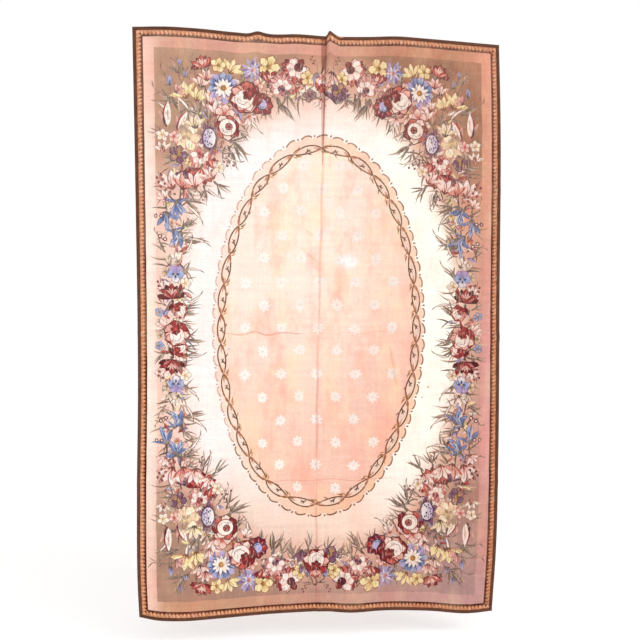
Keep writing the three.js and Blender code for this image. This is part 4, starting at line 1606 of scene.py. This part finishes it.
class TAPESTRY_OT_tapes(Operator):
    """Sew the brown tape round the four edges"""
    bl_idname = "tapestry.sew_tapes"
    bl_label = "Sew the edge tapes"

    def execute(self, context):
        mm = sizes_in_mm(context)
        half, drop, tape, gap = mm["width"] / 2, mm["drop"], mm["tape_width"], mm["gap"]
        hang = Hang(mm["width"], drop, tape)
        over = gap + mm["tape_thickness"]
        section = tape_section(tape, mm["tape_thickness"], mm["thickness"] / 2 + gap, gap)
        across = np.unique(np.concatenate([
            np.linspace(-half, half, 150), np.arange(-6, 66, 3.0), [-half - over, half + over]]))
        down = np.linspace(tape + gap, drop - tape - gap, 230)
        runs = {
            "top": [lambda a, x=x: (x, a) for x in across],
            "right": [lambda a, y=y: (half - a, y) for y in down],
            "bottom": [lambda a, x=x: (x, drop - a) for x in across[::-1]],
            "left": [lambda a, y=y: (a - half, y) for y in down[::-1]],
        }
        material = wool_tape()
        rng = random.Random(context.scene.tapestry_sizes.seed)
        for side, stops in runs.items():
            mesh = tape_mesh("tape_" + side, hang, stops, section, rng)
            close_ends(mesh)
            made = add_object("tape_" + side, mesh, material)
            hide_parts("edge_binding_" + side)
        return {"FINISHED"}


class TAPESTRY_OT_stage(Operator):
    """Set the camera, the floor and the light"""
    bl_idname = "tapestry.set_stage"
    bl_label = "Set the stage"

    def execute(self, context):
        scene = context.scene
        scene.view_settings.view_transform = "Standard"
        self.set_camera(scene)
        settings = scene.tapestry_stage
        mesh = bpy.data.meshes.new("floor")
        reach, level = FLOOR["reach"], CAD_BOX[0][2] - FLOOR["below"]
        corners = ((-reach, -reach), (reach, -reach), (reach, reach), (-reach, reach))
        mesh.from_pydata([(x, y, level) for x, y in corners], [], [(0, 1, 2, 3)])
        floor = bpy.data.objects.new("floor", mesh)
        scene.collection.objects.link(floor)
        mesh.materials.append(plaster_floor(settings.floor_colour))
        floor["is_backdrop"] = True
        world = bpy.data.worlds.new("studio")
        world.use_nodes = True
        sky = world.node_tree.nodes["Background"]
        sky.inputs["Color"].default_value = (1, 1, 1, 1)
        sky.inputs["Strength"].default_value = settings.light
        scene.world = world
        for name, place, side, power in LIGHTS:
            light = bpy.data.lights.new(name, "AREA")
            light.shape, light.size, light.energy = "SQUARE", side, power
            lamp = bpy.data.objects.new(name, light)
            lamp.location = place
            aim = Vector((0, 0, CAD_BOX[0][2] / 2)) - Vector(place)
            lamp.rotation_euler = aim.to_track_quat("-Z", "Y").to_euler()
            scene.collection.objects.link(lamp)
        return {"FINISHED"}

    def set_camera(self, scene):
        """A 45 mm lens, a little left of the middle, as in the photograph."""
        camera = bpy.data.cameras.new("camera")
        camera.lens, camera.sensor_width = CAMERA["lens"], CAMERA["sensor"]
        made = bpy.data.objects.new("camera", camera)
        yaw, pitch, roll = (math.radians(CAMERA[key]) for key in ("yaw", "pitch", "roll"))
        upright = Matrix.Rotation(math.radians(90), 4, "X")
        turn = Matrix.Rotation(yaw, 4, "Z") @ Matrix.Rotation(pitch, 4, "X")
        turn = turn @ Matrix.Rotation(roll, 4, "Y")
        made.matrix_world = Matrix.Translation(CAMERA["place"]) @ turn @ upright
        scene.collection.objects.link(made)
        scene.camera = made


class TAPESTRY_PT_panel(Panel):
    """The tapestry's settings and steps"""
    bl_idname = "TAPESTRY_PT_panel"
    bl_label = "Wall Tapestry"
    bl_space_type = "VIEW_3D"
    bl_region_type = "UI"
    bl_category = "Tapestry"

    def draw(self, context):
        for group in (context.scene.tapestry_sizes, context.scene.tapestry_stage):
            for key in group.bl_rna.properties.keys():
                if key not in ("rna_type", "name"):
                    self.layout.prop(group, key)
        for step in STEPS:
            self.layout.operator(step.bl_idname)


STEPS = (TAPESTRY_OT_stage, TAPESTRY_OT_cloth, TAPESTRY_OT_tapes)
CLASSES = (TapestrySizes, TapestryStage, *STEPS, TAPESTRY_PT_panel)


def register():
    for cls in CLASSES:
        bpy.utils.register_class(cls)
    bpy.types.Scene.tapestry_sizes = PointerProperty(type=TapestrySizes)
    bpy.types.Scene.tapestry_stage = PointerProperty(type=TapestryStage)


def unregister():
    del bpy.types.Scene.tapestry_stage
    del bpy.types.Scene.tapestry_sizes
    for cls in reversed(CLASSES):
        bpy.utils.unregister_class(cls)


def main():
    register()
    bpy.ops.tapestry.set_stage()
    bpy.ops.tapestry.weave_cloth()
    bpy.ops.tapestry.sew_tapes()
    boxes = {"cad": CAD_BOX, "visual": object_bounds()}
    boxes = {key: [[float(v) for v in corner] for corner in box] for key, box in boxes.items()}


if __name__ == "__main__":
    main()
